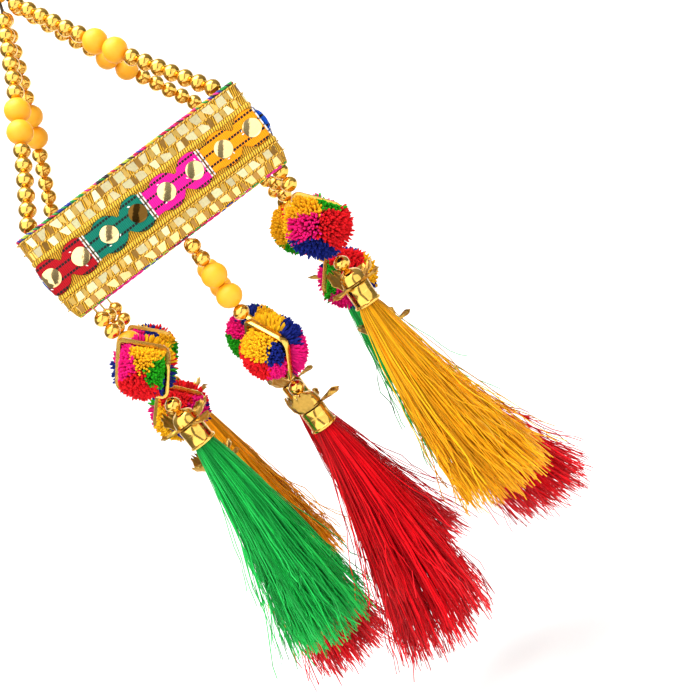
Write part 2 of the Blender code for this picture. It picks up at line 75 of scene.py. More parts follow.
MM = 0.001
SEED = 11
TURN = 2 * math.pi

# Beads' lengths along their thread, and the gap that stands for a joining thread
GOLD_LONG = 5.6 * MM
YELLOW_LONG = 9.2 * MM
GAP = 0.3 * MM

# Places that the frame gives
HOOP_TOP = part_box("lace_band")[1][2]
RING_R = 7.0 * MM
WIRE_R = 0.9 * MM
EYE_R = 2.2 * MM
EYE_WIRE_R = 0.55 * MM
RING_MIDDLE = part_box("hang_ring")[0][2] + RING_R + WIRE_R
EYE_MIDDLE = RING_MIDDLE - 7.4 * MM
TOP_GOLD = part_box("top_bead_yellow")[1][2] + GAP + GOLD_LONG / 2
TOP_YELLOW = (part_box("top_bead_yellow")[0][2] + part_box("top_bead_yellow")[1][2]) / 2

# The hoop's path, as the frame has it
HOOP_HALF = 48.0 * MM
HOOP_CORNER = 2.5 * MM
LACE_DEEP = 33.0 * MM
LACE_WAVE = 0.45 * MM
LOW_ROW = 28.8 * MM
LOW_TUCK = 1.2 * MM
SIDE_RUN = 2 * (HOOP_HALF - HOOP_CORNER)
CORNER_RUN = math.pi * HOOP_CORNER / 2
AROUND = 4 * (SIDE_RUN + CORNER_RUN)

# Bead strings
STRING_CORNER = 43.0 * MM
STRING_RISE = TOP_YELLOW - YELLOW_LONG / 2 + 2.7 * MM - HOOP_TOP
STRING_SAG = 1.8 * MM
BEADS_ABOVE = 6
# String, corner, gold beads under its yellow pair, bare thread above its beads and below them (mm)
STRINGS = (
    ("front_left", (-1, -1), 6, 8.6, 0.9),
    ("front_right", (1, -1), 7, 5.5, 0.9),
    ("back_left", (-1, 1), 6, 6.4, 2.0),
    ("back_right", (1, 1), 6, 5.6, 2.4),
)

# Strands under the hoop
CORNER_X = 42.5 * MM
STRAND_IN = 41.9 * MM
LUG_TOP = 29.2 * MM
FIRST_BEAD = 34.6 * MM
REACH_CORNER = 65.0 * MM
REACH_MIDDLE = 89.0 * MM
FRAME_HALF = 14.3 * MM
BAND_WIDTH = 3.0 * MM
BAND_THICK = 1.5 * MM
TUBE_LOW = 17.9 * MM
BORE_DEEP = 2.0 * MM
LEAVES_LOW = 9.0 * MM
CORNER_TASSEL = 92.0 * MM
MIDDLE_TASSEL = 97.0 * MM

# Strand, place across and along the hoop, its shift along X and its drop (mm), lean to its head (mm),
# turn of the band, radii of the pompom's lobes (mm), turn and lifts of the leaves, sway and end radius (mm)
STRANDS = (
    ("front_left", (-1, -1), 1.4, 4.0, (1.2, 0.5), -4, (12.0, 13.4), 8, (14, 40, 12, -4), (-6.0, -2.0), 18.0),
    ("front_middle", (0, -1), 1.2, 2.7, (-1.9, 0.3), -55, (11.2, 14.6), 45, (20, 62, 58, -2), (-8, -4), 20.5),
    ("front_right", (1, -1), 0.6, 0.2, (-3.4, 0.6), 5, (14.2, 12.6), 12, (16, 50, 0, 8), (7.0, -3.0), 18.5),
    ("side_left", (-1, 0), 0.0, 5.1, (-3.3, 0.4), -2, (12.4, 13.6), 20, (18, 45, 30, 5), (1.0, 3.0), 17.5),
    ("side_right", (1, 0), 0.0, 3.0, (0.9, 0.4), -5, (13.5, 13.2), 30, (22, 40, 26, 6), (14.0, 2.0), 19.0),
    ("back_left", (-1, 1), 0.0, 5.0, (0.6, -0.8), 5, (13.5, 13.4), 20, (15, 35, 20, 0), (-3.0, 3.0), 16.5),
    ("back_middle", (0, 1), 0.0, 2.5, (-2.3, -0.5), -70, (13.2, 13.5), 35, (20, 48, 40, 4), (8.0, 2.0), 18.5),
    ("back_right", (1, 1), 0.0, 0.3, (0.6, -0.6), -60, (13.6, 13.3), 70, (18, 30, 45, 2), (2.0, 3.0), 17.0),
)

# Thread of each tassel, and the patches of yarn on each pompom: colour, then where the patch's middle
# faces, as seen by someone before the hoop: right, towards them, up
THREADS = {
    "front_left": "green",
    "front_middle": "red",
    "front_right": "marigold",
    "side_left": "red",
    "side_right": "red",
    "back_left": "orange",
    "back_middle": "red",
    "back_right": "green",
}
PATCHES = {
    "front_left": (
        ("marigold", (0.45, 0.85, 0.35)), ("marigold", (0.9, 0.2, 0.3)), ("magenta", (-0.45, 0.7, 0.6)),
        ("red", (-0.55, 0.75, -0.25)), ("red", (-0.35, 0.5, -0.8)), ("green", (0.45, 0.75, -0.45)),
        ("navy", (0.0, 0.2, -0.98)), ("magenta", (0.1, -0.6, 0.8)), ("red", (0.5, -0.8, 0.1)),
        ("navy", (-0.6, -0.8, 0.0)), ("green", (-0.1, -0.7, -0.7)),
    ),
    "front_middle": (
        ("marigold", (0.5, 0.55, 0.65)), ("marigold", (-0.35, 0.85, 0.3)), ("navy", (0.85, 0.45, 0.05)),
        ("navy", (0.15, 0.95, -0.3)), ("magenta", (0.8, 0.3, -0.5)), ("magenta", (-0.1, 0.7, -0.75)),
        ("red", (-0.75, 0.6, -0.25)), ("marigold", (0.3, -0.6, 0.75)), ("green", (0.5, -0.85, -0.1)),
        ("red", (-0.5, -0.8, 0.3)), ("navy", (-0.2, -0.7, -0.65)),
    ),
    "front_right": (
        ("marigold", (-0.1, 0.65, 0.75)), ("magenta", (-0.45, 0.85, 0.2)), ("green", (0.8, 0.5, 0.35)),
        ("red", (0.35, 0.85, -0.35)), ("red", (0.85, 0.4, -0.3)), ("navy", (-0.6, 0.6, -0.55)),
        ("marigold", (-0.75, 0.1, 0.6)), ("green", (-0.4, -0.8, 0.4)), ("magenta", (0.4, -0.9, 0.0)),
        ("red", (-0.3, -0.7, -0.6)),
    ),
    "side_left": (
        ("marigold", (-0.75, 0.6, 0.2)), ("marigold", (-0.7, 0.5, -0.5)), ("red", (0.3, 0.8, 0.5)),
        ("navy", (-0.2, 0.85, -0.5)), ("magenta", (0.75, 0.6, -0.3)), ("red", (0.8, -0.2, 0.5)),
        ("green", (-0.2, -0.7, 0.7)), ("navy", (0.3, -0.9, -0.2)), ("magenta", (-0.8, -0.5, 0.1)),
    ),
    "side_right": (
        ("red", (0.35, 0.75, 0.55)), ("green", (-0.7, 0.6, 0.35)), ("magenta", (-0.45, 0.8, -0.4)),
        ("navy", (0.1, 0.6, -0.8)), ("marigold", (0.8, 0.5, -0.35)), ("magenta", (-0.8, -0.4, 0.0)),
        ("navy", (0.2, -0.8, 0.6)), ("red", (0.6, -0.8, -0.2)), ("green", (-0.2, -0.8, -0.6)),
    ),
    "back_left": (
        ("magenta", (0.0, 0.6, 0.8)), ("navy", (0.6, 0.5, 0.65)), ("marigold", (0.85, 0.5, 0.0)),
        ("green", (0.7, 0.55, -0.5)), ("red", (-0.6, 0.75, 0.0)), ("marigold", (-0.3, -0.7, 0.6)),
        ("red", (0.4, -0.9, 0.0)), ("green", (-0.7, -0.7, -0.2)), ("magenta", (0.1, -0.6, -0.8)),
    ),
    "back_middle": (
        ("magenta", (-0.5, 0.5, 0.7)), ("green", (-0.9, 0.35, 0.1)), ("red", (-0.6, 0.7, -0.4)),
        ("navy", (0.1, 0.5, 0.9)), ("marigold", (0.7, 0.6, 0.2)), ("green", (0.2, -0.8, 0.5)),
        ("marigold", (-0.5, -0.85, 0.0)), ("red", (0.6, -0.75, -0.3)), ("navy", (0.0, -0.6, -0.8)),
    ),
    "back_right": (
        ("marigold", (-0.8, 0.55, 0.2)), ("green", (-0.55, 0.6, -0.6)), ("red", (0.2, 0.9, 0.3)),
        ("magenta", (0.7, 0.6, -0.2)), ("marigold", (0.3, -0.8, 0.5)), ("green", (-0.6, -0.8, 0.0)),
        ("navy", (0.5, -0.8, -0.4)), ("red", (-0.1, -0.5, -0.85)),
    ),
}

# Quarters of each pompom's front lobe that stay within the band: sides along the band's X and Z
BARE = {
    "front_left": ((1, 1), (-1, 1), (1, -1)),
    "front_right": ((1, 1),),
    "side_left": ((1, 1), (-1, 1)),
    "back_left": ((1, 1), (-1, -1)),
    "back_right": ((1, 1), (-1, 1)),
    "front_middle": (),
    "side_right": ((-1, 1),),
    "back_middle": (),
}

# Lace layout, down from the upper edge and along the hoop, in mm
RING_DROP = 16.4
STITCH_LINES = (11.3, 14.9, 18.95, 22.3)
UNITS = 15
FIRST_BAR = -8.1
RING_ONE = 8.4
RING_TWO = 21.0
GOTA_ROWS = ((0.9, 4.25, 0), (4.95, 8.0, 1), (25.85, 28.75, 2), (29.6, 32.5, 3))
BRAIDS = ((8.15, 9.95), (23.05, 25.0))
CHAINS = ((0.2, 0.8), (4.3, 4.9), (25.1, 25.75), (28.85, 29.5))

# Colours of the ribbon's units in turn, and half the width of a stitched line in mm
RIBBONS = ("red", "teal", "pink", "orange", "blue")
STITCH_WIDE = 0.44

# Foil colours. The folded squares' tones are painted light on one foil: a painted highlight on the wide
# facets, painted shade on the folded facets, and painted shade on the lowest row, which tilts away from the
# light
PALE_FOIL = (1.0, 0.74, 0.34, 1)
DULL_FOIL = (0.16, 0.08, 0.015, 1)
GOTA_PAINTED_HIGHLIGHT = (1.0, 0.88, 0.5, 1)
GOTA_LOW_ROW_PAINTED_SHADE = (0.9, 0.64, 0.26, 1)
GOTA_PAINTED_FACET_SHADE = (0.86, 0.56, 0.14, 1)
GOTA_PAINTED_SHADE = (0.4, 0.21, 0.05, 1)

# Shares of a tassel's threads that stray and that are short
WILD_THREADS = 0.17
SHORT_THREADS = 0.14


def length_of(name, about, size):
    """A length that a maker may change."""
    return bpy.props.FloatProperty(name=name, description=about, default=size, unit="LENGTH")


def dye_of(name, colour):
    """A colour that a maker may change."""
    return bpy.props.FloatVectorProperty(
        name=name, description="Colour: " + name.lower(), subtype="COLOR", size=4, default=colour)


class JHOOMAR_Sizes(bpy.types.PropertyGroup):
    """Sizes that a maker would change."""

    gold_bead: length_of("Gold bead", "Radius of a gold bead", 3.15 * MM)
    yellow_bead: length_of("Yellow bead", "Radius of a yellow bead", 5.0 * MM)
    bead_pitch: length_of("Gold bead length", "Length of a gold bead along its thread", GOLD_LONG)
    yellow_pitch: length_of("Yellow bead length", "Length of a yellow bead along its thread", YELLOW_LONG)
    gota_pitch: length_of("Gota pitch", "Distance between two folded squares of the lace", 5.6 * MM)
    ring_radius: length_of("Ribbon ring", "Outer radius of a ring of ribbon on the lace", 6.7 * MM)
    disc_radius: length_of("Foil disc", "Radius of the foil in a ring of ribbon", 3.4 * MM)
    thread_radius: length_of("Tassel thread", "Radius of one tassel thread", 0.21 * MM)
    threads: bpy.props.IntProperty(
        name="Threads", description="Threads in one tassel", default=780, min=50)
    yarn_ends: bpy.props.IntProperty(
        name="Yarn ends", description="Cut ends on one pompom", default=2400, min=100)


class JHOOMAR_Colours(bpy.types.PropertyGroup):
    """Colours of the threads, yarns and ribbons."""

    green: dye_of("Green silk", (0.016, 0.52, 0.085, 1))
    red: dye_of("Red silk", (0.72, 0.003, 0.01, 1))
    marigold: dye_of("Marigold silk", (1.0, 0.47, 0.008, 1))
    orange: dye_of("Orange silk", (1.0, 0.43, 0.008, 1))
    yarn_green: dye_of("Green yarn", (0.012, 0.36, 0.004, 1))
    yarn_red: dye_of("Red yarn", (0.8, 0.006, 0.012, 1))
    yarn_marigold: dye_of("Yellow yarn", (0.96, 0.48, 0.005, 1))
    yarn_magenta: dye_of("Magenta yarn", (0.85, 0.003, 0.19, 1))
    yarn_navy: dye_of("Navy yarn", (0.004, 0.014, 0.2, 1))
    ribbon_red: dye_of("Red ribbon", (0.4, 0.002, 0.008, 1))
    ribbon_teal: dye_of("Teal ribbon", (0.001, 0.16, 0.105, 1))
    ribbon_pink: dye_of("Pink ribbon", (0.85, 0.006, 0.27, 1))
    ribbon_orange: dye_of("Orange ribbon", (0.92, 0.29, 0.001, 1))
    ribbon_blue: dye_of("Blue ribbon", (0.002, 0.06, 0.42, 1))
    bead_yellow: dye_of("Matte yellow bead", (0.93, 0.42, 0.006, 1))
    gold: dye_of("Gold plate", (0.86, 0.51, 0.1, 1))


def sizes():
    """The scene's sizes."""
    return bpy.context.scene.jhoomar_sizes


def colours():
    """The scene's colours."""
    return bpy.context.scene.jhoomar_colours


# Small helpers for shapes


def clear_selection():
    """Deselect everything, in object mode."""
    if bpy.context.object and bpy.context.object.mode != "OBJECT":
        bpy.ops.object.mode_set(mode="OBJECT")
    bpy.ops.object.select_all(action="DESELECT")


def take(obj):
    """Make one object the only selected and the active one."""
    clear_selection()
    obj.select_set(True)
    bpy.context.view_layer.objects.active = obj


def settle(obj):
    """Put an object's place into its mesh."""
    take(obj)
    bpy.ops.object.transform_apply(location=True, rotation=True, scale=True)


def apply_modifiers(obj):
    """Apply all of an object's modifiers in order."""
    take(obj)
    for modifier in list(obj.modifiers):
        bpy.ops.object.modifier_apply(modifier=modifier.name)


def finish_piece(obj, finish, nodes=(), smooth=40):
    """Give a piece its material, smoothness and body, and hide the frame nodes that it stands for."""
    if not obj.data.polygons:
        raise RuntimeError("no faces in " + obj.name)
    obj.data.materials.clear()
    obj.data.materials.append(finish)
    take(obj)
    if smooth is None:
        bpy.ops.object.shade_flat()
    else:
        bpy.ops.object.shade_smooth_by_angle(angle=math.radians(smooth))
    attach(obj, "root")
    if nodes:
        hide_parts(*nodes)
    return obj


def recalculate(obj, merge=0.000001):
    """Merge doubled points and turn all faces outwards."""
    take(obj)
    bpy.ops.object.mode_set(mode="EDIT")
    bpy.ops.mesh.select_all(action="SELECT")
    bpy.ops.mesh.remove_doubles(threshold=merge)
    bpy.ops.mesh.normals_make_consistent(inside=False)
    bpy.ops.object.mode_set(mode="OBJECT")


def piece_of(name, points, faces, tints=(), edges=()):
    """An object from its points and faces, with a tint for each point where tints are given."""
    mesh = bpy.data.meshes.new(name)
    mesh.from_pydata(points, edges, faces)
    if tints:
        layer = mesh.attributes.new("tint", "FLOAT_COLOR", "POINT")
        for spot, tint in zip(layer.data, tints):
            spot.color = tint
    obj = bpy.data.objects.new(name, mesh)
    bpy.context.scene.collection.objects.link(obj)
    return obj


def spun_piece(name, profile, steps):
    """Spin a profile of (radius, height) once round Z in edit mode."""
    points = [(radius, 0, height) for radius, height in profile]
    obj = piece_of(name, points, [], edges=[(i, i + 1) for i in range(len(points) - 1)])
    take(obj)
    bpy.ops.object.mode_set(mode="EDIT")
    bpy.ops.mesh.select_all(action="SELECT")
    bpy.ops.mesh.spin(steps=steps, angle=TURN, center=(0, 0, 0), axis=(0, 0, 1))
    bpy.ops.object.mode_set(mode="OBJECT")
    recalculate(obj)
    return obj


def copies_as_one(name, parts):
    """Join copies of models into one object. Parts hold a model, a matrix and a tint or None."""
    points = []
    faces = []
    tints = []
    for model, matrix, tint in parts:
        first = len(points)
        points.extend(matrix @ vert.co for vert in model.data.vertices)
        flipped = matrix.determinant() < 0
        for face in model.data.polygons:
            corners = [first + index for index in face.vertices]
            faces.append(corners[::-1] if flipped else corners)
        if tint is not None:
            tints.extend([tint] * len(model.data.vertices))
    return piece_of(name, points, faces, tints)


def discard(*models):
    """Remove models that have been copied."""
    for model in models:
        bpy.data.objects.remove(model)


def tube_points(path, radius, sides):
    """Rings of points round a path. Radius may be a number or one number for each point."""
    rings = []
    count = len(path)
    for i, point in enumerate(path):
        along = path[min(i + 1, count - 1)] - path[max(i - 1, 0)]
        along.normalize()
        side = along.cross(Vector((0.13, 0.21, 0.97)) if abs(along.z) < 0.9 else Vector((0.97, 0.2, 0.1)))
        side.normalize()
        other = along.cross(side)
        size = radius[i] if hasattr(radius, "__len__") else radius
        ring = []
        for k in range(sides):
            angle = TURN * k / sides
            ring.append(point + size * (math.cos(angle) * side + math.sin(angle) * other))
        rings.append(ring)
    return rings


def tubes_as_one(name, tubes, sides, closed=False):
    """One object of many tubes. Tubes hold a path, a radius or radii, and a tint or tints."""
    points = []
    faces = []
    tints = []
    for path, radius, tint in tubes:
        first = len(points)
        rings = tube_points(path, radius, sides)
        count = len(rings)
        many = hasattr(tint[0], "__len__")
        for i, ring in enumerate(rings):
            points.extend(ring)
            tints.extend([tint[i] if many else tint] * sides)
        last = count if closed else count - 1
        for i in range(last):
            low = first + i * sides
            high = first + ((i + 1) % count) * sides
            for k in range(sides):
                j = (k + 1) % sides
                faces.append((low + k, low + j, high + j, high + k))
        if not closed:
            faces.append([first + k for k in range(sides)][::-1])
            faces.append([first + (count - 1) * sides + k for k in range(sides)])
    obj = piece_of(name, points, faces, tints)
    recalculate(obj, 0.00000001)
    return obj


def sideways(chance):
    """A random way across, up to 1 along X and along Y."""
    return Vector((chance.uniform(-1, 1), chance.uniform(-1, 1), 0))


def any_way(chance):
    """A random way, up to 1 along each axis."""
    return Vector([chance.uniform(-1, 1) for k in range(3)])


def hoop_spot(run, out, drop):
    """Point on the hoop, from a distance round it, a distance out of the lace and a distance down it."""
    run = run % AROUND
    side = int(run // (SIDE_RUN + CORNER_RUN))
    along = run - side * (SIDE_RUN + CORNER_RUN)
    tuck = max(0.0, drop - LOW_ROW) * LOW_TUCK / (LACE_DEEP - LOW_ROW)
    push = out - tuck
    if along < SIDE_RUN:
        share = along / SIDE_RUN
        wave = LACE_WAVE * math.sin(2 * math.pi * share) ** 2
        flat = Vector((along - SIDE_RUN / 2, -HOOP_HALF - wave - push, 0))
    else:
        angle = (along - SIDE_RUN) / HOOP_CORNER - math.pi / 2
        middle = HOOP_HALF - HOOP_CORNER
        reach = max(HOOP_CORNER + push, 0.3 * MM)
        flat = Vector((middle + reach * math.cos(angle), -middle + reach * math.sin(angle), 0))
    spot = Matrix.Rotation(side * math.pi / 2, 3, "Z") @ flat
    spot.z = HOOP_TOP - drop
    return spot


def wrap_round_hoop(obj):
    """Bend a flat piece round the hoop: X is the distance round, -Y the way out and -Z the way down."""
    mesh = obj.data
    layer = mesh.uv_layers.new(name="lace_map")
    for loop in mesh.loops:
        spot = mesh.vertices[loop.vertex_index].co
        layer.data[loop.index].uv = (spot.x / MM, -spot.z / MM)
    for vert in mesh.vertices:
        vert.co = hoop_spot(vert.co.x, -vert.co.y, -vert.co.z)


def strip_round_hoop(name, section, step):
    """A closed strip round the hoop from a section of (out, drop). Its map runs along and down in mm."""
    count = int(AROUND / step)
    runs = [AROUND * i / count for i in range(count)]
    points = []
    faces = []
    maps = []
    size = len(section)
    for run in runs:
        points.extend(hoop_spot(run, out, drop) for out, drop in section)
    for i in range(count):
        low = i * size
        high = ((i + 1) % count) * size
        for k in range(size):
            j = (k + 1) % size
            faces.append((low + k, high + k, high + j, low + j))
            first = AROUND * i / count / MM
            second = AROUND * (i + 1) / count / MM
            here = section[k][1] / MM
            there = section[j][1] / MM
            maps.extend([(first, here), (second, here), (second, there), (first, there)])
    obj = piece_of(name, points, faces)
    layer = obj.data.uv_layers.new(name="lace_map")
    for spot, uv in zip(layer.data, maps):
        spot.uv = uv
    return obj


# Materials


def new_material(name):
    """A new material, its node tree and its Principled shader."""
    made = bpy.data.materials.new(name)
    made.use_nodes = True
    tree = made.node_tree
    return made, tree, tree.nodes["Principled BSDF"]


def add_node(tree, kind, **values):
    """Add a node and set its properties."""
    node = tree.nodes.new(kind)
    for key, value in values.items():
        setattr(node, key, value)
    return node


def maths(tree, operation, *values):
    """A Math node's result. Each value is a number or another node's output."""
    node = add_node(tree, "ShaderNodeMath", operation=operation)
    for socket, value in zip(node.inputs, values):
        if isinstance(value, bpy.types.NodeSocket):
            tree.links.new(value, socket)
        else:
            socket.default_value = value
    return node.outputs["Value"]


def add_bump(tree, shader, height, strength, distance):
    """Bump the shader's normal by a height."""
    bump = add_node(tree, "ShaderNodeBump")
    bump.inputs["Strength"].default_value = strength
    bump.inputs["Distance"].default_value = distance
    tree.links.new(height, bump.inputs["Height"])
    tree.links.new(bump.outputs["Normal"], shader.inputs["Normal"])


def span_of(tree, mask, least, most, low=0.0, high=1.0):
    """A mask's range from low to high, stretched to run from least to most."""
    span = add_node(tree, "ShaderNodeMapRange")
    span.inputs["From Min"].default_value = low
    span.inputs["From Max"].default_value = high
    span.inputs["To Min"].default_value = least
    span.inputs["To Max"].default_value = most
    tree.links.new(mask, span.inputs["Value"])
    return span.outputs["Result"]


def scaled_tint(tree, factor):
    """The colour that each point of the piece carries, made fainter or stronger by a factor."""
    tint = add_node(tree, "ShaderNodeAttribute", attribute_name="tint")
    scale = add_node(tree, "ShaderNodeVectorMath", operation="SCALE")
    tree.links.new(tint.outputs["Color"], scale.inputs[0])
    tree.links.new(factor, scale.inputs["Scale"])
    return scale.outputs["Vector"]


def object_place(tree, scale):
    """Object coordinates through a Mapping node."""
    place = add_node(tree, "ShaderNodeTexCoord")
    mapping = add_node(tree, "ShaderNodeMapping")
    mapping.inputs["Scale"].default_value = scale
    tree.links.new(place.outputs["Object"], mapping.inputs["Vector"])
    return mapping.outputs["Vector"]


def grain_group():
    """Shared group: fine uneven grain, out as a mask and as a bumped normal."""
    group = bpy.data.node_groups.get("fine_grain")
    if group:
        return group
    group = bpy.data.node_groups.new("fine_grain", "ShaderNodeTree")
    face = group.interface
    face.new_socket("Vector", in_out="INPUT", socket_type="NodeSocketVector")
    scale = face.new_socket("Scale", in_out="INPUT", socket_type="NodeSocketFloat")
    scale.default_value = 900
    depth = face.new_socket("Depth", in_out="INPUT", socket_type="NodeSocketFloat")
    depth.default_value = 0.2
    face.new_socket("Mask", in_out="OUTPUT", socket_type="NodeSocketFloat")
    face.new_socket("Normal", in_out="OUTPUT", socket_type="NodeSocketVector")
    start = group.nodes.new("NodeGroupInput")
    end = group.nodes.new("NodeGroupOutput")
    noise = group.nodes.new("ShaderNodeTexNoise")
    noise.inputs["Detail"].default_value = 4
    bump = group.nodes.new("ShaderNodeBump")
    bump.inputs["Distance"].default_value = 0.0002
    group.links.new(start.outputs["Vector"], noise.inputs["Vector"])
    group.links.new(start.outputs["Scale"], noise.inputs["Scale"])
    group.links.new(start.outputs["Depth"], bump.inputs["Strength"])
    group.links.new(noise.outputs["Fac"], bump.inputs["Height"])
    group.links.new(noise.outputs["Fac"], end.inputs["Mask"])
    group.links.new(bump.outputs["Normal"], end.inputs["Normal"])
    return group


def add_grain(tree, scale, depth, stretch=(1, 1, 1)):
    """Place the grain group on Object coordinates."""
    node = tree.nodes.new("ShaderNodeGroup")
    node.node_tree = grain_group()
    node.inputs["Scale"].default_value = scale
    node.inputs["Depth"].default_value = depth
    tree.links.new(object_place(tree, stretch), node.inputs["Vector"])
    return node


def blend_colours(tree, mask, first, second, low=0.3, high=0.7):
    """Mix two colours by a mask through a ramp."""
    ramp = add_node(tree, "ShaderNodeValToRGB")
    ramp.color_ramp.elements[0].position = low
    ramp.color_ramp.elements[0].color = first
    ramp.color_ramp.elements[1].position = high
    ramp.color_ramp.elements[1].color = second
    tree.links.new(mask, ramp.inputs["Fac"])
    return ramp.outputs["Color"]


def shade_of(colour, factor):
    """A colour made darker or lighter."""
    return (min(colour[0] * factor, 1), min(colour[1] * factor, 1), min(colour[2] * factor, 1), 1)


def gold_plate(name="gold_plate", rough=(0.1, 0.22), tone=1.0, grain=500, depth=0.05):
    """Polished plating with faint clouding and fine handling marks."""
    made, tree, shader = new_material(name)
    base = tuple(colours().gold)
    node = add_grain(tree, grain, depth)
    tree.links.new(
        blend_colours(tree, node.outputs["Mask"], shade_of(base, 0.82 * tone), shade_of(base, 1.04 * tone)),
        shader.inputs["Base Color"])
    tree.links.new(span_of(tree, node.outputs["Mask"], *rough), shader.inputs["Roughness"])
    tree.links.new(node.outputs["Normal"], shader.inputs["Normal"])
    shader.inputs["Metallic"].default_value = 1.0
    return made


def matte_bead():
    """Matte yellow acrylic with a soft skin, made once."""
    made = bpy.data.materials.get("matte_yellow_bead")
    if made:
        return made
    made, tree, shader = new_material("matte_yellow_bead")
    base = tuple(colours().bead_yellow)
    node = add_grain(tree, 900, 0.08)
    tree.links.new(
        blend_colours(tree, node.outputs["Mask"], shade_of(base, 0.95), base),
        shader.inputs["Base Color"])
    tree.links.new(node.outputs["Normal"], shader.inputs["Normal"])
    shader.inputs["Roughness"].default_value = 0.5
    shader.inputs["Subsurface Weight"].default_value = 0.12
    shader.inputs["Subsurface Radius"].default_value = (0.003, 0.0015, 0.0004)
    shader.inputs["Subsurface Scale"].default_value = 1.0
    return made


def tinted_thread(name, rough, sheen, grain, depth, stretch=(1, 1, 1), spread=(0.72, 1.1)):
    """Thread or yarn whose colour each point carries, with uneven depth of dye."""
    made, tree, shader = new_material(name)
    node = add_grain(tree, grain, depth, stretch)
    factor = span_of(tree, node.outputs["Mask"], *spread, 0.3, 0.7)
    tree.links.new(scaled_tint(tree, factor), shader.inputs["Base Color"])
    tree.links.new(node.outputs["Normal"], shader.inputs["Normal"])
    shader.inputs["Roughness"].default_value = rough
    shader.inputs["Specular IOR Level"].default_value = 0.25
    shader.inputs["Sheen Weight"].default_value = sheen
    shader.inputs["Sheen Roughness"].default_value = 0.5
    return made


def lace_map(tree):
    """The lace's own map: distance round and distance down, in mm."""
    uv = add_node(tree, "ShaderNodeUVMap", uv_map="lace_map")
    split = add_node(tree, "ShaderNodeSeparateXYZ")
    tree.links.new(uv.outputs["UV"], split.inputs["Vector"])
    return split.outputs["X"], split.outputs["Y"]


def lace_wave(tree, ribs_along, ribs_down, sharp):
    """A wave over the lace from 0 to 1, with its ribs to a mm along the lace and down it."""
    along, down = lace_map(tree)
    turn = maths(tree, "MULTIPLY", along, ribs_along * TURN)
    turn = maths(tree, "MULTIPLY_ADD", down, ribs_down * TURN, turn)
    wave = maths(tree, "MULTIPLY_ADD", maths(tree, "SINE", turn), 0.5, 0.5)
    return maths(tree, "POWER", wave, sharp)


def woven_gold(name, along, down, dark, light, rough, metallic, depth, sharp=0.8):
    """Woven metallic thread: ribs across the lace's own map, pale on top and painted shade between."""
    made, tree, shader = new_material(name)
    rib = lace_wave(tree, along, down, sharp)
    grain = add_grain(tree, 1600, 0.3)
    height = maths(tree, "MULTIPLY_ADD", grain.outputs["Mask"], 0.5, maths(tree, "MULTIPLY", rib, 0.75))
    # The dark tone is painted shade in the valleys between the ribs; the pale tone is the thread's own colour
    # on the tops
    tree.links.new(blend_colours(tree, height, dark, light, 0.2, 0.95), shader.inputs["Base Color"])
    add_bump(tree, shader, height, depth, 0.4 * MM)
    shader.inputs["Roughness"].default_value = rough
    shader.inputs["Metallic"].default_value = metallic
    return made


def ribbon_satin():
    """Satin ribbon in the piece's tints, with cross ribs and black running stitches along the lace."""
    made, tree, shader = new_material("ring_ribbon_satin")
    rib = lace_wave(tree, 1.5, 0.0, 1.0)
    along, down = lace_map(tree)
    lines = 0.0
    for drop in STITCH_LINES:
        away = maths(tree, "ABSOLUTE", maths(tree, "SUBTRACT", down, drop))
        lines = maths(tree, "MAXIMUM", lines, maths(tree, "LESS_THAN", away, STITCH_WIDE))
    dashes = maths(tree, "GREATER_THAN", lace_wave(tree, 0.8, 0.15, 1.0), 0.1)
    stitch = maths(tree, "MULTIPLY", lines, dashes)
    mix = add_node(tree, "ShaderNodeMix", data_type="RGBA")
    mix.inputs["B"].default_value = (0.012, 0.01, 0.012, 1)
    tree.links.new(stitch, mix.inputs["Factor"])
    # The tint is painted darker in the rib valleys and lighter on the rib tops, as painted shade and painted
    # highlight
    tree.links.new(scaled_tint(tree, span_of(tree, rib, 0.72, 1.12)), mix.inputs["A"])
    tree.links.new(mix.outputs["Result"], shader.inputs["Base Color"])
    add_bump(tree, shader, maths(tree, "ADD", rib, stitch), 0.5, 0.12 * MM)
    shader.inputs["Roughness"].default_value = 0.6
    shader.inputs["Specular IOR Level"].default_value = 0.14
    return made


def foil(name, rough):
    """Thin crinkled foil in the piece's tints."""
    made, tree, shader = new_material(name)
    node = add_grain(tree, 260, 0.35)
    fine = add_grain(tree, 1500, 0.1)
    factor = span_of(tree, fine.outputs["Mask"], 0.8, 1.15)
    tree.links.new(scaled_tint(tree, factor), shader.inputs["Base Color"])
    tree.links.new(node.outputs["Normal"], shader.inputs["Normal"])
    shader.inputs["Roughness"].default_value = rough
    shader.inputs["Metallic"].default_value = 1.0
    return made


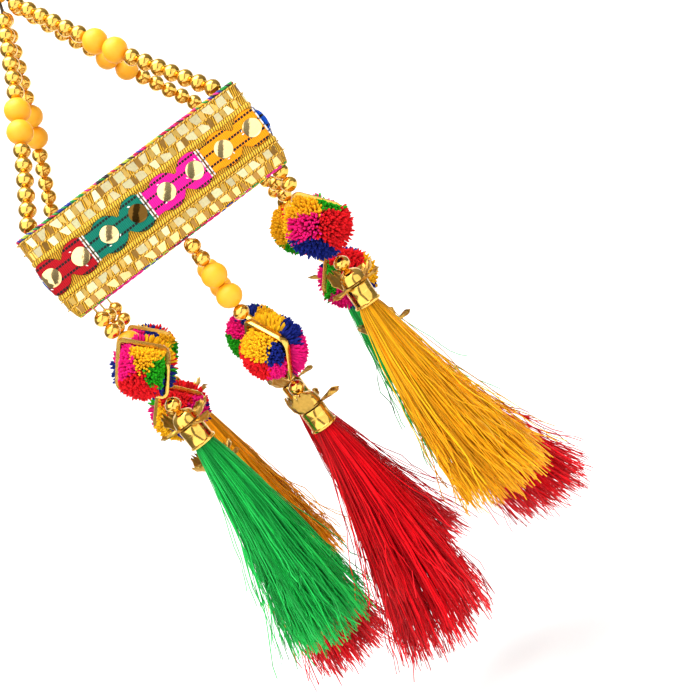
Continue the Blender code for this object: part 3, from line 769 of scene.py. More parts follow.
class JHOOMAR_OT_top(bpy.types.Operator):
    """Make the wire ring, the gold bead with its eye and the yellow bead where the strings meet."""

    bl_idname = "jhoomar.top"
    bl_label = "Ring and top beads"

    def execute(self, context):
        wire = gold_plate("ring_wire", (0.14, 0.26))
        clear_selection()
        bpy.ops.mesh.primitive_torus_add(
            major_radius=RING_R, minor_radius=WIRE_R, major_segments=48, minor_segments=12,
            location=(0, 0, RING_MIDDLE), rotation=(math.pi / 2, 0, 0))
        ring = context.object
        ring.name = "wire_ring"
        settle(ring)
        finish_piece(ring, wire, ("hang_ring",), smooth=80)

        clear_selection()
        bpy.ops.mesh.primitive_torus_add(
            major_radius=EYE_R, minor_radius=EYE_WIRE_R, major_segments=28, minor_segments=8,
            location=(0, 0, EYE_MIDDLE), rotation=(math.pi / 2, 0, math.pi / 2))
        eye = context.object
        eye.name = "wire_eye"
        settle(eye)
        finish_piece(eye, wire, smooth=80)

        model = bead_model(sizes().gold_bead, sizes().bead_pitch)
        bead = copies_as_one("gold_top_bead", [(model, Matrix.Translation((0, 0, TOP_GOLD)), None)])
        discard(model)
        finish_piece(bead, gold_plate("top_bead_plate"), ("top_bead_gold",), smooth=60)

        model = bead_model(sizes().yellow_bead, sizes().yellow_pitch)
        bead = copies_as_one("yellow_top_bead", [(model, Matrix.Translation((0, 0, TOP_YELLOW)), None)])
        discard(model)
        finish_piece(bead, matte_bead(), ("top_bead_yellow",), smooth=60)
        return {"FINISHED"}


def bead_model(radius, length):
    """One bead with its hole's rim turned in, its length along Z."""
    half = length / 2
    profile = [(0.16 * radius, 0.78 * half), (0.2 * radius, half)]
    steps = 9
    for i in range(steps):
        angle = math.radians(17 + i * (146 / (steps - 1)))
        profile.append((radius * math.sin(angle), 1.02 * half * math.cos(angle)))
    profile += [(0.2 * radius, -half), (0.16 * radius, -0.78 * half)]
    return spun_piece("bead_model", profile, 18)


def collar_model():
    """The thin bright collar between two beads."""
    profile = [(0.2, 0.3), (0.7, 0.3), (0.85, 0.0), (0.7, -0.3), (0.2, -0.3)]
    return spun_piece("collar_model", [(radius * MM, height * MM) for radius, height in profile], 10)


def axis_matrix(middle, along, spin=0.0):
    """A place with its Z along a direction."""
    turn = along.to_track_quat("Z", "Y").to_matrix().to_4x4()
    return Matrix.Translation(middle) @ turn @ Matrix.Rotation(spin, 4, "Z")


class JHOOMAR_OT_strings(bpy.types.Operator):
    """Make the four rows of beads between the top and the hoop's corners."""

    bl_idname = "jhoomar.strings"
    bl_label = "Bead strings"

    def execute(self, context):
        plate = gold_plate("string_plate")
        yellow = matte_bead()
        gold_model = bead_model(1.06 * sizes().gold_bead, sizes().bead_pitch)
        yellow_model = bead_model(sizes().yellow_bead, sizes().yellow_pitch)
        collar = collar_model()
        chance = random.Random(SEED)
        for name, corner, below, first, last in STRINGS:
            top = Vector((0, 0, HOOP_TOP + STRING_RISE))
            end = Vector((corner[0] * STRING_CORNER, corner[1] * STRING_CORNER, HOOP_TOP + 0.5 * MM))
            chord = end - top
            length = chord.length
            flat = math.hypot(chord.x, chord.y)
            inward = Vector((-corner[0], -corner[1], flat * math.sqrt(2) / chord.z)).normalized()
            room = length - (first + last) * MM - 2 * sizes().yellow_pitch
            pitch = room / (BEADS_ABOVE + below)
            pair = [("yellow", sizes().yellow_pitch)] * 2
            beads = [("gold", pitch)] * BEADS_ABOVE + pair + [("gold", pitch)] * below

            def spot(distance):
                share = distance / length
                return top + share * chord + 4 * share * (1 - share) * STRING_SAG * inward

            golds = []
            yellows = []
            at = first * MM
            golds.append((collar, axis_matrix(spot(at), chord), None))
            for kind, size in beads:
                middle = spot(at + size / 2)
                along = spot(at + size) - spot(at)
                spin = chance.uniform(0, math.pi)
                wobble = sideways(chance) * 0.1 * MM
                if kind == "gold":
                    stretch = Matrix.Diagonal((1, 1, pitch / sizes().bead_pitch, 1))
                    golds.append((gold_model, axis_matrix(middle + wobble, along, spin) @ stretch, None))
                else:
                    yellows.append((yellow_model, axis_matrix(middle + wobble, along, spin), None))
                at += size
                golds.append((collar, axis_matrix(spot(at), along), None))
            beads_piece = copies_as_one("string_beads_" + name, golds)
            finish_piece(beads_piece, plate, ("string_" + name,), smooth=60)
            yellow_piece = copies_as_one("string_pair_" + name, yellows)
            finish_piece(yellow_piece, yellow, (), smooth=60)
            tuck = Vector((corner[0] * 45.0 * MM, corner[1] * 45.0 * MM, HOOP_TOP - 1.2 * MM))
            upper = [top + 2.8 * MM * chord.normalized(), spot(first * MM), spot((first + 3) * MM)]
            knot = tuck + Vector((0, 0, -4 * MM))
            lower = [spot(at - 3 * MM), spot(at), tuck + Vector((0, 0, 1.2 * MM)), tuck, knot]
            dark = (0.05, 0.03, 0.012, 1)
            cords = [(upper, 0.4 * MM, dark), (lower, 0.42 * MM, dark)]
            thread = tubes_as_one("string_thread_" + name, cords, 6)
            finish_piece(thread, waxed_thread(), (), smooth=80)
        discard(gold_model, yellow_model, collar)
        return {"FINISHED"}


def waxed_thread():
    """The dark thread that the beads hang on."""
    made = bpy.data.materials.get("waxed_thread")
    return made or tinted_thread("waxed_thread", 0.5, 0.1, 2500, 0.4)


def strand_matrix(spot, shift, drop, lean):
    """Where a strand starts, and its lean."""
    middle = 0 in spot
    x = spot[0] * (STRAND_IN if middle else CORNER_X) + shift * MM
    y = spot[1] * STRAND_IN
    reach = REACH_MIDDLE if middle else REACH_CORNER
    turn_x = Matrix.Rotation(math.atan(lean[1] * MM / reach), 4, "X")
    turn_y = Matrix.Rotation(-math.atan(lean[0] * MM / reach), 4, "Y")
    return Matrix.Translation((x, y, HOOP_TOP - LUG_TOP)) @ turn_y @ turn_x


def strand_levels(middle, drop):
    """Depths below the strand's start: its beads, and the middles of its band and cap bead."""
    at = FIRST_BEAD - LUG_TOP + drop * MM - GOLD_LONG / 2
    run = [("gold", GOLD_LONG)] * 2
    if middle:
        run += [("yellow", YELLOW_LONG)] * 2 + [("gold", GOLD_LONG)]
    beads = []
    for kind, size in run:
        beads.append((kind, at + size / 2))
        at += size
    band = at + GAP + FRAME_HALF
    cap = band + FRAME_HALF + GAP + GOLD_LONG / 2
    return beads, band, cap


class JHOOMAR_OT_runs(bpy.types.Operator):
    """Make the short runs of beads that carry the pompoms."""

    bl_idname = "jhoomar.runs"
    bl_label = "Bead runs"

    def execute(self, context):
        plate = gold_plate("run_plate")
        yellow = matte_bead()
        gold_model = bead_model(sizes().gold_bead, sizes().bead_pitch)
        yellow_model = bead_model(sizes().yellow_bead, sizes().yellow_pitch)
        collar = collar_model()
        chance = random.Random(SEED + 1)
        for name, spot, shift, drop, lean in (row[:5] for row in STRANDS):
            base = strand_matrix(spot, shift, drop, lean)
            beads, band, cap = strand_levels(0 in spot, drop)
            golds = []
            yellows = []
            for kind, depth in beads:
                turn = Matrix.Rotation(chance.uniform(0, 3), 4, "Z")
                turn = turn @ Matrix.Rotation(chance.uniform(-0.1, 0.1), 4, "X")
                place = base @ Matrix.Translation((0, 0, -depth)) @ turn
                if kind == "gold":
                    half = GOLD_LONG / 2
                    golds.append((gold_model, place, None))
                else:
                    half = YELLOW_LONG / 2
                    yellows.append((yellow_model, place, None))
                golds.append((collar, base @ Matrix.Translation((0, 0, -depth + half)), None))
            piece = copies_as_one("run_beads_" + name, golds)
            finish_piece(piece, plate, ("beads_" + name,), smooth=60)
            if yellows:
                pair = copies_as_one("run_pair_" + name, yellows)
                finish_piece(pair, yellow, (), smooth=60)
            first = beads[0][1] - GOLD_LONG / 2
            out = Vector((spot[0], spot[1], 0)) if 0 in spot else Vector((0, spot[1], 0))
            steps = ((0, first + 3 * MM), (0, first), (0.4, 2.0 * MM), (2.6, 0.4 * MM), (3.7, -0.8 * MM))
            path = [base @ (out * reach * MM + Vector((0, 0, -depth))) for reach, depth in steps]
            thread = tubes_as_one("run_thread_" + name, [(path, 0.42 * MM, (0.6, 0.42, 0.12, 1))], 6)
            finish_piece(thread, waxed_thread(), (), smooth=80)
        discard(gold_model, yellow_model, collar)
        return {"FINISHED"}


def band_line():
    """Middle line of the bent band with rounded corners, round once, in its own plane."""
    tip = FRAME_HALF - BAND_THICK / 2
    corners = [(0, tip, 1.9), (11.9 * MM, 0, 3.4), (0, -tip, 1.9), (-11.9 * MM, 0, 3.4)]
    line = []
    for i in range(4):
        here = Vector(corners[i][:2])
        cut = corners[i][2] * MM
        before = Vector(corners[i - 1][:2])
        after = Vector(corners[(i + 1) % 4][:2])
        start = here + (before - here).normalized() * cut
        end = here + (after - here).normalized() * cut
        for k in range(7):
            share = k / 6
            line.append((1 - share) ** 2 * start + 2 * share * (1 - share) * here + share ** 2 * end)
        for k in range(1, 6):
            reach = corners[(i + 1) % 4][2] * MM
            finish = after + (here - after).normalized() * reach
            line.append(end + (finish - end) * k / 6)
    return line


class JHOOMAR_OT_bands(bpy.types.Operator):
    """Make the polished bands bent round the pompoms."""

    bl_idname = "jhoomar.bands"
    bl_label = "Pompom bands"

    def execute(self, context):
        plate = gold_plate("band_plate", (0.12, 0.24), 1.0, 350, 0.04)
        line = band_line()
        count = len(line)
        half_wide = BAND_WIDTH / 2
        half_thick = 1.2 * BAND_THICK / 2
        section = [
            (1, -0.72), (1, 0.72), (0.66, 1), (-0.66, 1), (-1, 0.72), (-1, -0.72), (-0.66, -1), (0.66, -1),
        ]
        for row in STRANDS:
            name, spot, shift, drop, lean, turn = row[:6]
            beads, band, cap = strand_levels(0 in spot, drop)
            place = strand_matrix(spot, shift, drop, lean) @ Matrix.Translation((0, 0, -band))
            place = place @ Matrix.Rotation(math.radians(turn), 4, "Z")
            points = []
            faces = []
            for i, point in enumerate(line):
                along = (line[(i + 1) % count] - line[i - 1]).normalized()
                out = Vector((-along.y, along.x))
                slim = 1.0 - 0.3 * max(0.0, -point.y / FRAME_HALF)
                for depth, width in section:
                    at = point + out * depth * half_thick
                    points.append(place @ Vector((at.x, width * half_wide * slim, at.y)))
            size = len(section)
            for i in range(count):
                low = i * size
                high = ((i + 1) % count) * size
                for k in range(size):
                    j = (k + 1) % size
                    faces.append((low + k, low + j, high + j, high + k))
            obj = piece_of("band_" + name, points, faces)
            recalculate(obj)
            finish_piece(obj, plate, ("cage_" + name,), smooth=50)
        return {"FINISHED"}


def pompom_tip(facing, lobes, bare, uneven):
    """End of a yarn in the band's own frame: two lobes, pinched where the band runs between them."""
    lobe = (lobes[0] if facing.y < 0 else lobes[1]) * (0.97 + 0.03 * -facing.z)
    tip = facing * (lobe + uneven)
    gauge = abs(tip.x) / 11.9 + abs(tip.z) / 13.3
    inside = facing.y < 0 and any(tip.x * way[0] > 0 and tip.z * way[1] > 0 for way in bare)
    limit = 9.0
    if abs(tip.y) < 2.3:
        limit = 0.86
    elif inside:
        limit = 0.9
    elif abs(tip.y) < 4.2:
        limit = 0.98 + 0.28 * (abs(tip.y) - 2.3)
    if gauge > limit:
        tip.x *= limit / gauge
        tip.z *= limit / gauge
    return tip * MM


class JHOOMAR_OT_pompoms(bpy.types.Operator):
    """Make the pompoms of cut yarn, patch by patch."""

    bl_idname = "jhoomar.pompoms"
    bl_label = "Pompoms"

    def execute(self, context):
        yarn = tinted_thread("cut_yarn", 1.0, 0.0, 2600, 0.7, (1, 1, 1), (0.75, 1.12))
        golden = math.pi * (3 - math.sqrt(5))
        count = sizes().yarn_ends
        chance = random.Random(SEED + 2)
        dyes = {
            "green": tuple(colours().yarn_green),
            "red": tuple(colours().yarn_red),
            "marigold": tuple(colours().yarn_marigold),
            "magenta": tuple(colours().yarn_magenta),
            "navy": tuple(colours().yarn_navy),
        }
        around = [(math.cos(math.pi / 2 * k), math.sin(math.pi / 2 * k)) for k in range(4)]
        for row in STRANDS:
            name, spot, shift, drop, lean, turn, lobes = row[:7]
            beads, band, cap = strand_levels(0 in spot, drop)
            base = strand_matrix(spot, shift, drop, lean) @ Matrix.Translation((0, 0, -band))
            spin = Matrix.Rotation(math.radians(turn), 3, "Z")
            back = spin.transposed()
            patches = [(kind, Vector((way[0], -way[1], way[2])).normalized()) for kind, way in PATCHES[name]]
            points = []
            faces = []
            tints = []
            for i in range(count):
                height = 1 - 2 * (i + 0.5) / count
                swing = golden * i
                flat = math.sqrt(1 - height * height)
                facing = Vector((flat * math.cos(swing), flat * math.sin(swing), height))
                facing = (facing + 0.04 * any_way(chance)).normalized()
                tip = spin @ pompom_tip(back @ facing, lobes, BARE[name], chance.uniform(-0.55, 0.4))
                seat = (facing + 0.08 * any_way(chance)).normalized()
                kind = max(patches, key=lambda patch: patch[1].dot(seat))[0]
                colour = shade_of(dyes[kind], chance.uniform(0.8, 1.12))
                root = tip * 0.5
                tip = tip + 0.5 * MM * any_way(chance)
                along = (tip - root).normalized()
                side = along.orthogonal().normalized()
                other = along.cross(side)
                thick = chance.uniform(0.44, 0.58) * MM
                first = len(points)
                # The yarn's tint is painted darker towards the root as shade between the ends, and lighter at
                # the tip
                for share, wide, dark in ((0.0, 1.0, 0.35), (0.9, 1.0, 0.9)):
                    middle = root.lerp(tip, share)
                    for across, along_side in around:
                        points.append(base @ (middle + wide * thick * (across * side + along_side * other)))
                        tints.append(shade_of(colour, dark))
                points.append(base @ tip)
                # Painted highlight at the yarn's tip
                tints.append(shade_of(colour, 1.15))
                for k in range(4):
                    j = (k + 1) % 4
                    faces.append((first + k, first + j, first + 4 + j, first + 4 + k))
                    faces.append((first + 4 + k, first + 4 + j, first + 8))
                faces.append((first + 3, first + 2, first + 1, first))
            obj = piece_of("pompom_yarn_" + name, points, faces, tints)
            finish_piece(obj, yarn, ("pompom_" + name,), smooth=75)
        return {"FINISHED"}


class JHOOMAR_OT_caps(bpy.types.Operator):
    """Make the turned caps: gold bead, bell, neck and tube with its rim."""

    bl_idname = "jhoomar.caps"
    bl_label = "Caps"

    def execute(self, context):
        plate = gold_plate("cap_plate", (0.1, 0.2), 1.0, 420, 0.04)
        bell = [
            (1.0, -2.7), (1.5, -3.1), (2.6, -3.5), (3.7, -4.2), (4.4, -5.1), (4.75, -6.2), (4.9, -7.6),
            (5.05, -8.3), (4.8, -8.45), (4.3, -8.3), (1.2, -8.2),
        ]
        tube = [
            (1.2, -9.5), (4.3, -9.55), (4.8, -9.7), (4.95, -10.1), (4.9, -12.8), (4.9, -16.6),
            (5.1, -16.9), (5.4, -17.1), (5.45, -17.5), (5.3, -17.85), (4.85, -17.9), (4.6, -17.6),
            (4.55, -15.2), (1.0, -15.0),
        ]
        body = spun_piece("cap_model", [(radius * MM, height * MM) for radius, height in bell + tube], 32)
        bead = bead_model(sizes().gold_bead, sizes().bead_pitch)
        collar = collar_model()
        for row in STRANDS:
            name, spot, shift, drop, lean = row[:5]
            beads, band, cap = strand_levels(0 in spot, drop)
            base = strand_matrix(spot, shift, drop, lean) @ Matrix.Translation((0, 0, -cap))
            parts = [
                (body, base, None),
                (bead, base, None),
                (collar, base @ Matrix.Translation((0, 0, 2.75 * MM)), None),
            ]
            piece = copies_as_one("turned_cap_" + name, parts)
            finish_piece(piece, plate, ("cap_" + name,), smooth=40)
        discard(body, bead, collar)
        return {"FINISHED"}


def leaf_points(lift, seed):
    """Grid of one pressed leaf along +X: narrow neck, creased blade and a torn, lobed end."""
    chance = random.Random(seed)
    across = 17
    along = 12
    ends = []
    for k in range(across):
        side = 2 * k / (across - 1) - 1
        lobe = abs(math.sin(side * math.pi * 1.5 + 1.57))
        ends.append(0.8 + 0.22 * lobe ** 0.6 - 0.1 * abs(side) + chance.uniform(-0.05, 0.05))
    droop = chance.uniform(-0.5, 0.9)
    rows = []
    for i in range(along):
        share = i / (along - 1)
        wide = 1.6 + 2.6 * math.sin(math.pi * min(share * 1.3, 1.0) * 0.5) ** 1.3
        wide *= 1.0 + 0.1 * math.sin(share * 16.0 + seed)
        wide *= 1.0 - 0.3 * max(0.0, share - 0.72) / 0.28
        row = []
        for k in range(across):
            side = 2 * k / (across - 1) - 1
            reach = 3.0 + 10.2 * share * (1.0 - (1 - ends[k]) * share)
            crease = 0.42 * share * math.cos(side * math.pi * 4.0)
            cup = (1.5 * share - 0.4) * side * side
            out = max(0.0, reach - 4.6)
            bend = math.radians(lift) * (1 + 0.3 * share)
            flat = min(reach, 4.6) + out * math.cos(bend)
            rise = out * math.sin(bend) + crease + cup - droop * share * share
            row.append(Vector((flat, side * wide, rise)) * MM)
        rows.append(row)
    return rows


class JHOOMAR_OT_leaves(bpy.types.Operator):
    """Make the four pressed leaves under each bell."""

    bl_idname = "jhoomar.leaves"
    bl_label = "Pressed leaves"

    def execute(self, context):
        plate = gold_plate("leaf_plate", (0.26, 0.44), 0.6, 900, 0.3)
        for index, row in enumerate(STRANDS):
            name, spot, shift, drop, lean, turn, lobes, leaf_turn, lifts = row[:9]
            beads, band, cap = strand_levels(0 in spot, drop)
            base = strand_matrix(spot, shift, drop, lean)
            base = base @ Matrix.Translation((0, 0, -cap - LEAVES_LOW))
            base = base @ Matrix.Rotation(math.radians(leaf_turn), 4, "Z")
            points = []
            faces = []
            for leaf in range(4):
                swing = base @ Matrix.Rotation(math.radians(30 + 90 * leaf), 4, "Z")
                rows = leaf_points(lifts[leaf], 40 + 4 * index + leaf)
                first = len(points)
                for line in rows:
                    points.extend(swing @ point for point in line)
                wide = len(rows[0])
                for i in range(len(rows) - 1):
                    for k in range(wide - 1):
                        at = first + i * wide + k
                        faces.append((at, at + wide, at + wide + 1, at + 1))
            obj = piece_of("pressed_leaves_" + name, points, faces)
            clear_selection()
            bpy.ops.mesh.primitive_cylinder_add(vertices=24, radius=4.5 * MM, depth=0.35 * MM)
            plate_disc = context.object
            plate_disc.matrix_world = base
            settle(plate_disc)
            take(obj)
            thick = obj.modifiers.new("pressing", "SOLIDIFY")
            thick.thickness = 0.28 * MM
            thick.offset = 0
            apply_modifiers(obj)
            plate_disc.select_set(True)
            bpy.ops.object.join()
            recalculate(obj)
            finish_piece(obj, plate, ("leaves_" + name,), smooth=35)
        return {"FINISHED"}


class JHOOMAR_OT_tassels(bpy.types.Operator):
    """Make the tassels of silky thread."""

    bl_idname = "jhoomar.tassels"
    bl_label = "Tassels"

    def execute(self, context):
        silk = tinted_thread("tassel_silk", 0.55, 0.0, 420, 0.12, (1, 1, 0.12), (0.8, 1.15))
        chance = random.Random(SEED + 3)
        dyes = {
            "green": tuple(colours().green),
            "red": tuple(colours().red),
            "marigold": tuple(colours().marigold),
            "orange": tuple(colours().orange),
        }
        levels = (0.0, 0.05, 0.14, 0.26, 0.38, 0.5, 0.61, 0.71, 0.8, 0.88, 0.95, 1.0)
        for row in STRANDS:
            name, spot, shift, drop, lean = row[:5]
            sway, end_radius = row[9:11]
            middle = 0 in spot
            beads, band, cap = strand_levels(middle, drop)
            head = cap + TUBE_LOW - BORE_DEEP + GAP
            base = strand_matrix(spot, shift, drop, lean) @ Matrix.Translation((0, 0, -head))
            length = (MIDDLE_TASSEL if middle else CORNER_TASSEL) - GAP
            dye = dyes[THREADS[name]]
            tubes = []
            for i in range(sizes().threads):
                share = math.sqrt((i + 0.5) / sizes().threads)
                swing = i * math.pi * (3 - math.sqrt(5)) + chance.uniform(-0.2, 0.2)
                facing = Vector((math.cos(swing), math.sin(swing), 0))
                reach = length * chance.uniform(0.88, 1.0) * (1 - 0.03 * share)
                wild = chance.random() < WILD_THREADS
                if chance.random() < SHORT_THREADS:
                    reach *= chance.uniform(0.68, 0.95)
                bend = sideways(chance) * (11.0 if wild else 3.4) * MM
                curl = sideways(chance) * (3.4 if wild else 1.3) * MM
                phase = chance.uniform(0, 6)
                turns = chance.uniform(1.6, 4.6)
                spread = end_radius * MM * share ** 0.8 * chance.uniform(0.88, 1.06)
                path = []
                for level in levels:
                    radius = 3.9 * MM * share + (spread - 3.9 * MM * share) * level ** 0.92
                    if level < 0.04:
                        radius = 3.7 * MM * share
                    at = facing * radius
                    at += Vector((sway[0] * MM, sway[1] * MM, 0)) * level ** 2
                    ripple = math.sin(turns * math.pi * level + phase)
                    at += bend * level ** 2.2 + curl * level ** 1.5 * ripple
                    kink = (0.95 if wild else 0.5) * MM * level
                    at += sideways(chance) * kink
                    at.z = -1.2 * MM - reach * level
                    path.append(base @ at)
                thick = sizes().thread_radius * chance.uniform(0.85, 1.15)
                radii = [thick] * (len(levels) - 1) + [thick * 0.85]
                # Each thread gets a random brightness, and its top fifth is painted darker as shade under the
                # cap
                light = chance.uniform(0.5, 1.3)
                tints = [shade_of(dye, light * (0.78 + 0.22 * min(1.0, level * 5))) for level in levels]
                tubes.append((path, radii, tints))
            piece = tubes_as_one("tassel_threads_" + name, tubes, 3)
            finish_piece(piece, silk, ("tassel_" + name,), smooth=80)
        return {"FINISHED"}


class JHOOMAR_OT_lace(bpy.types.Operator):
    """Make the lace's ground, one woven strip bent round the hoop."""

    bl_idname = "jhoomar.lace"
    bl_label = "Lace ground"

    def execute(self, context):
        section = [(-1.5 * MM, 0.15 * MM), (0.0, 0.15 * MM)]
        for drop in (9.6, 23.6, 28.8, 32.9):
            section.append((0.0, drop * MM))
        section.append((-1.5 * MM, 32.9 * MM))
        section.append((-1.5 * MM, 28.8 * MM))
        ground = strip_round_hoop("lace_ground", section, 1.5 * MM)
        recalculate(ground)
        # The dark tone is painted shade in the weave's valleys and in the gaps between the foil squares
        weave = woven_gold(
            "lace_weave", 1.25, 0.3, (0.15, 0.06, 0.002, 1), (0.88, 0.48, 0.03, 1), 0.42, 0.55, 1.0)
        finish_piece(ground, weave, ("lace_band",), smooth=40)
        return {"FINISHED"}


def rounded_section(low, high, steps, rise, fullness):
    """Front of a rounded rib of the lace as (out, drop), between two drops in mm."""
    middle = (low + high) / 2
    section = []
    for k in range(steps + 1):
        angle = math.pi * k / steps
        out = rise * math.sin(angle) ** fullness
        section.append((out * MM, (middle - (high - low) / 2 * math.cos(angle)) * MM))
    return section


class JHOOMAR_OT_braids(bpy.types.Operator):
    """Make the ribbed braids and the thin chains between the rows of the lace."""

    bl_idname = "jhoomar.braids"
    bl_label = "Braids and chains"

    def execute(self, context):
        # Their dark tones are painted shade between the ribs
        braid = woven_gold(
            "braid_ribs", 1.05, 0.28, (0.16, 0.07, 0.004, 1), (0.98, 0.6, 0.05, 1), 0.38, 0.5, 1.0, 0.7)
        chain = woven_gold(
            "chain_ribs", 0.62, 0.9, (0.14, 0.055, 0.004, 1), (0.98, 0.6, 0.08, 1), 0.35, 0.5, 1.0, 0.8)
        for index, (low, high) in enumerate(BRAIDS):
            section = rounded_section(low, high, 8, 0.55, 0.7)
            section.append((-0.3 * MM, (high - 0.1) * MM))
            section.append((-0.3 * MM, (low + 0.1) * MM))
            piece = strip_round_hoop("braid_%d" % (index + 1), section, 1.5 * MM)
            recalculate(piece)
            finish_piece(piece, braid, (), smooth=60)
        for index, (low, high) in enumerate(CHAINS):
            section = rounded_section(low, high, 5, 0.85, 1.0)
            section.append((-0.3 * MM, high * MM))
            section.append((-0.3 * MM, low * MM))
            piece = strip_round_hoop("chain_%d" % (index + 1), section, 1.5 * MM)
            recalculate(piece)
            finish_piece(piece, chain, (), smooth=60)
        return {"FINISHED"}


def gota_model(kind):
    """One folded square of foil, 1 by 1 in X and Z, its ridge towards -Y."""
    clear_selection()
    bpy.ops.mesh.primitive_cube_add(size=1, location=(0, 0, 0))
    obj = bpy.context.object
    settle(obj)
    bpy.ops.object.mode_set(mode="EDIT")
    bpy.ops.mesh.select_all(action="DESELECT")
    shape = bmesh.from_edit_mesh(obj.data)
    for face in shape.faces:
        face.select = face.normal.y < -0.9
    bpy.ops.mesh.inset(thickness=0.05)
    bpy.ops.mesh.subdivide(number_cuts=1)
    bpy.ops.object.mode_set(mode="OBJECT")
    for vert in obj.data.vertices:
        spot = vert.co
        if spot.y > 0:
            spot.y = 0.3
        elif max(abs(spot.x), abs(spot.z)) > 0.47:
            spot.y = -0.05
        else:
            ridge = abs(spot.x) if kind == "gable" else abs(spot.x - spot.z) * 0.7
            spot.y = -0.14 - 0.62 * max(0.0, 1 - ridge * 2.4)
    take(obj)
    bpy.ops.object.mode_set(mode="EDIT")
    bpy.ops.mesh.select_all(action="SELECT")
    bpy.ops.mesh.quads_convert_to_tris()
    bpy.ops.object.mode_set(mode="OBJECT")
    return obj


class JHOOMAR_OT_gota(bpy.types.Operator):
    """Make the four rows of folded foil squares and wrap them round the hoop."""

    bl_idname = "jhoomar.gota"
    bl_label = "Gota rows"

    def execute(self, context):
        bright = foil("gota_foil", 0.3)
        gable = gota_model("gable")
        folded = gota_model("folded")
        chance = random.Random(SEED + 4)
        count = round(AROUND / sizes().gota_pitch)
        pitch = AROUND / count
        for low, high, index in GOTA_ROWS:
            parts = []
            for i in range(count):
                for half in (0, 1):
                    middle = (i + 0.3 + 0.5 * half + 0.17 * index) * pitch
                    wide = pitch * (0.31 if half else 0.62)
                    # Wide facets get a painted highlight, narrow folded ones painted shade, and some of those
                    # a darker painted shade
                    tone = GOTA_PAINTED_FACET_SHADE if half else GOTA_PAINTED_HIGHLIGHT
                    # The lowest row tilts down and away, so both its facets carry painted shade
                    if index == 3:
                        tone = GOTA_PAINTED_SHADE if half else GOTA_LOW_ROW_PAINTED_SHADE
                    elif half and chance.random() < 0.35:
                        tone = GOTA_PAINTED_SHADE
                    tone = shade_of(tone, chance.uniform(0.86, 1.1))
                    lean = chance.uniform(-0.1, 0.1)
                    model = gable if index in (0, 3) and half == 0 else folded
                    turn = Matrix.Rotation(lean, 4, "Z")
                    turn = turn @ Matrix.Rotation(chance.uniform(-0.05, 0.05), 4, "X")
                    flip = -1 if (half + index) % 2 else 1
                    size = Matrix.Diagonal((wide * flip, 1.0 * MM, (high - low) * MM * 0.97, 1))
                    place = Matrix.Translation((middle, 0, -(low + high) / 2 * MM)) @ turn @ size
                    parts.append((model, place, tone))
            piece = copies_as_one("gota_row_%d" % (index + 1), parts)
            wrap_round_hoop(piece)
            finish_piece(piece, bright, (), smooth=None)
        discard(gable, folded)
        return {"FINISHED"}


def ribbon_half(run):
    """Half height of the coloured ribbon at a distance from its unit's bar, in mm."""
    radius = sizes().ring_radius / MM
    unit = AROUND / MM / UNITS
    best = 3.3
    for centre in (RING_ONE, RING_TWO):
        away = run - centre
        if abs(away) < radius:
            best = max(best, math.sqrt(radius ** 2 - away ** 2))
    if run < RING_ONE - 3.9 or run > RING_TWO + 2.6:
        best = max(best, 5.15)
    return best


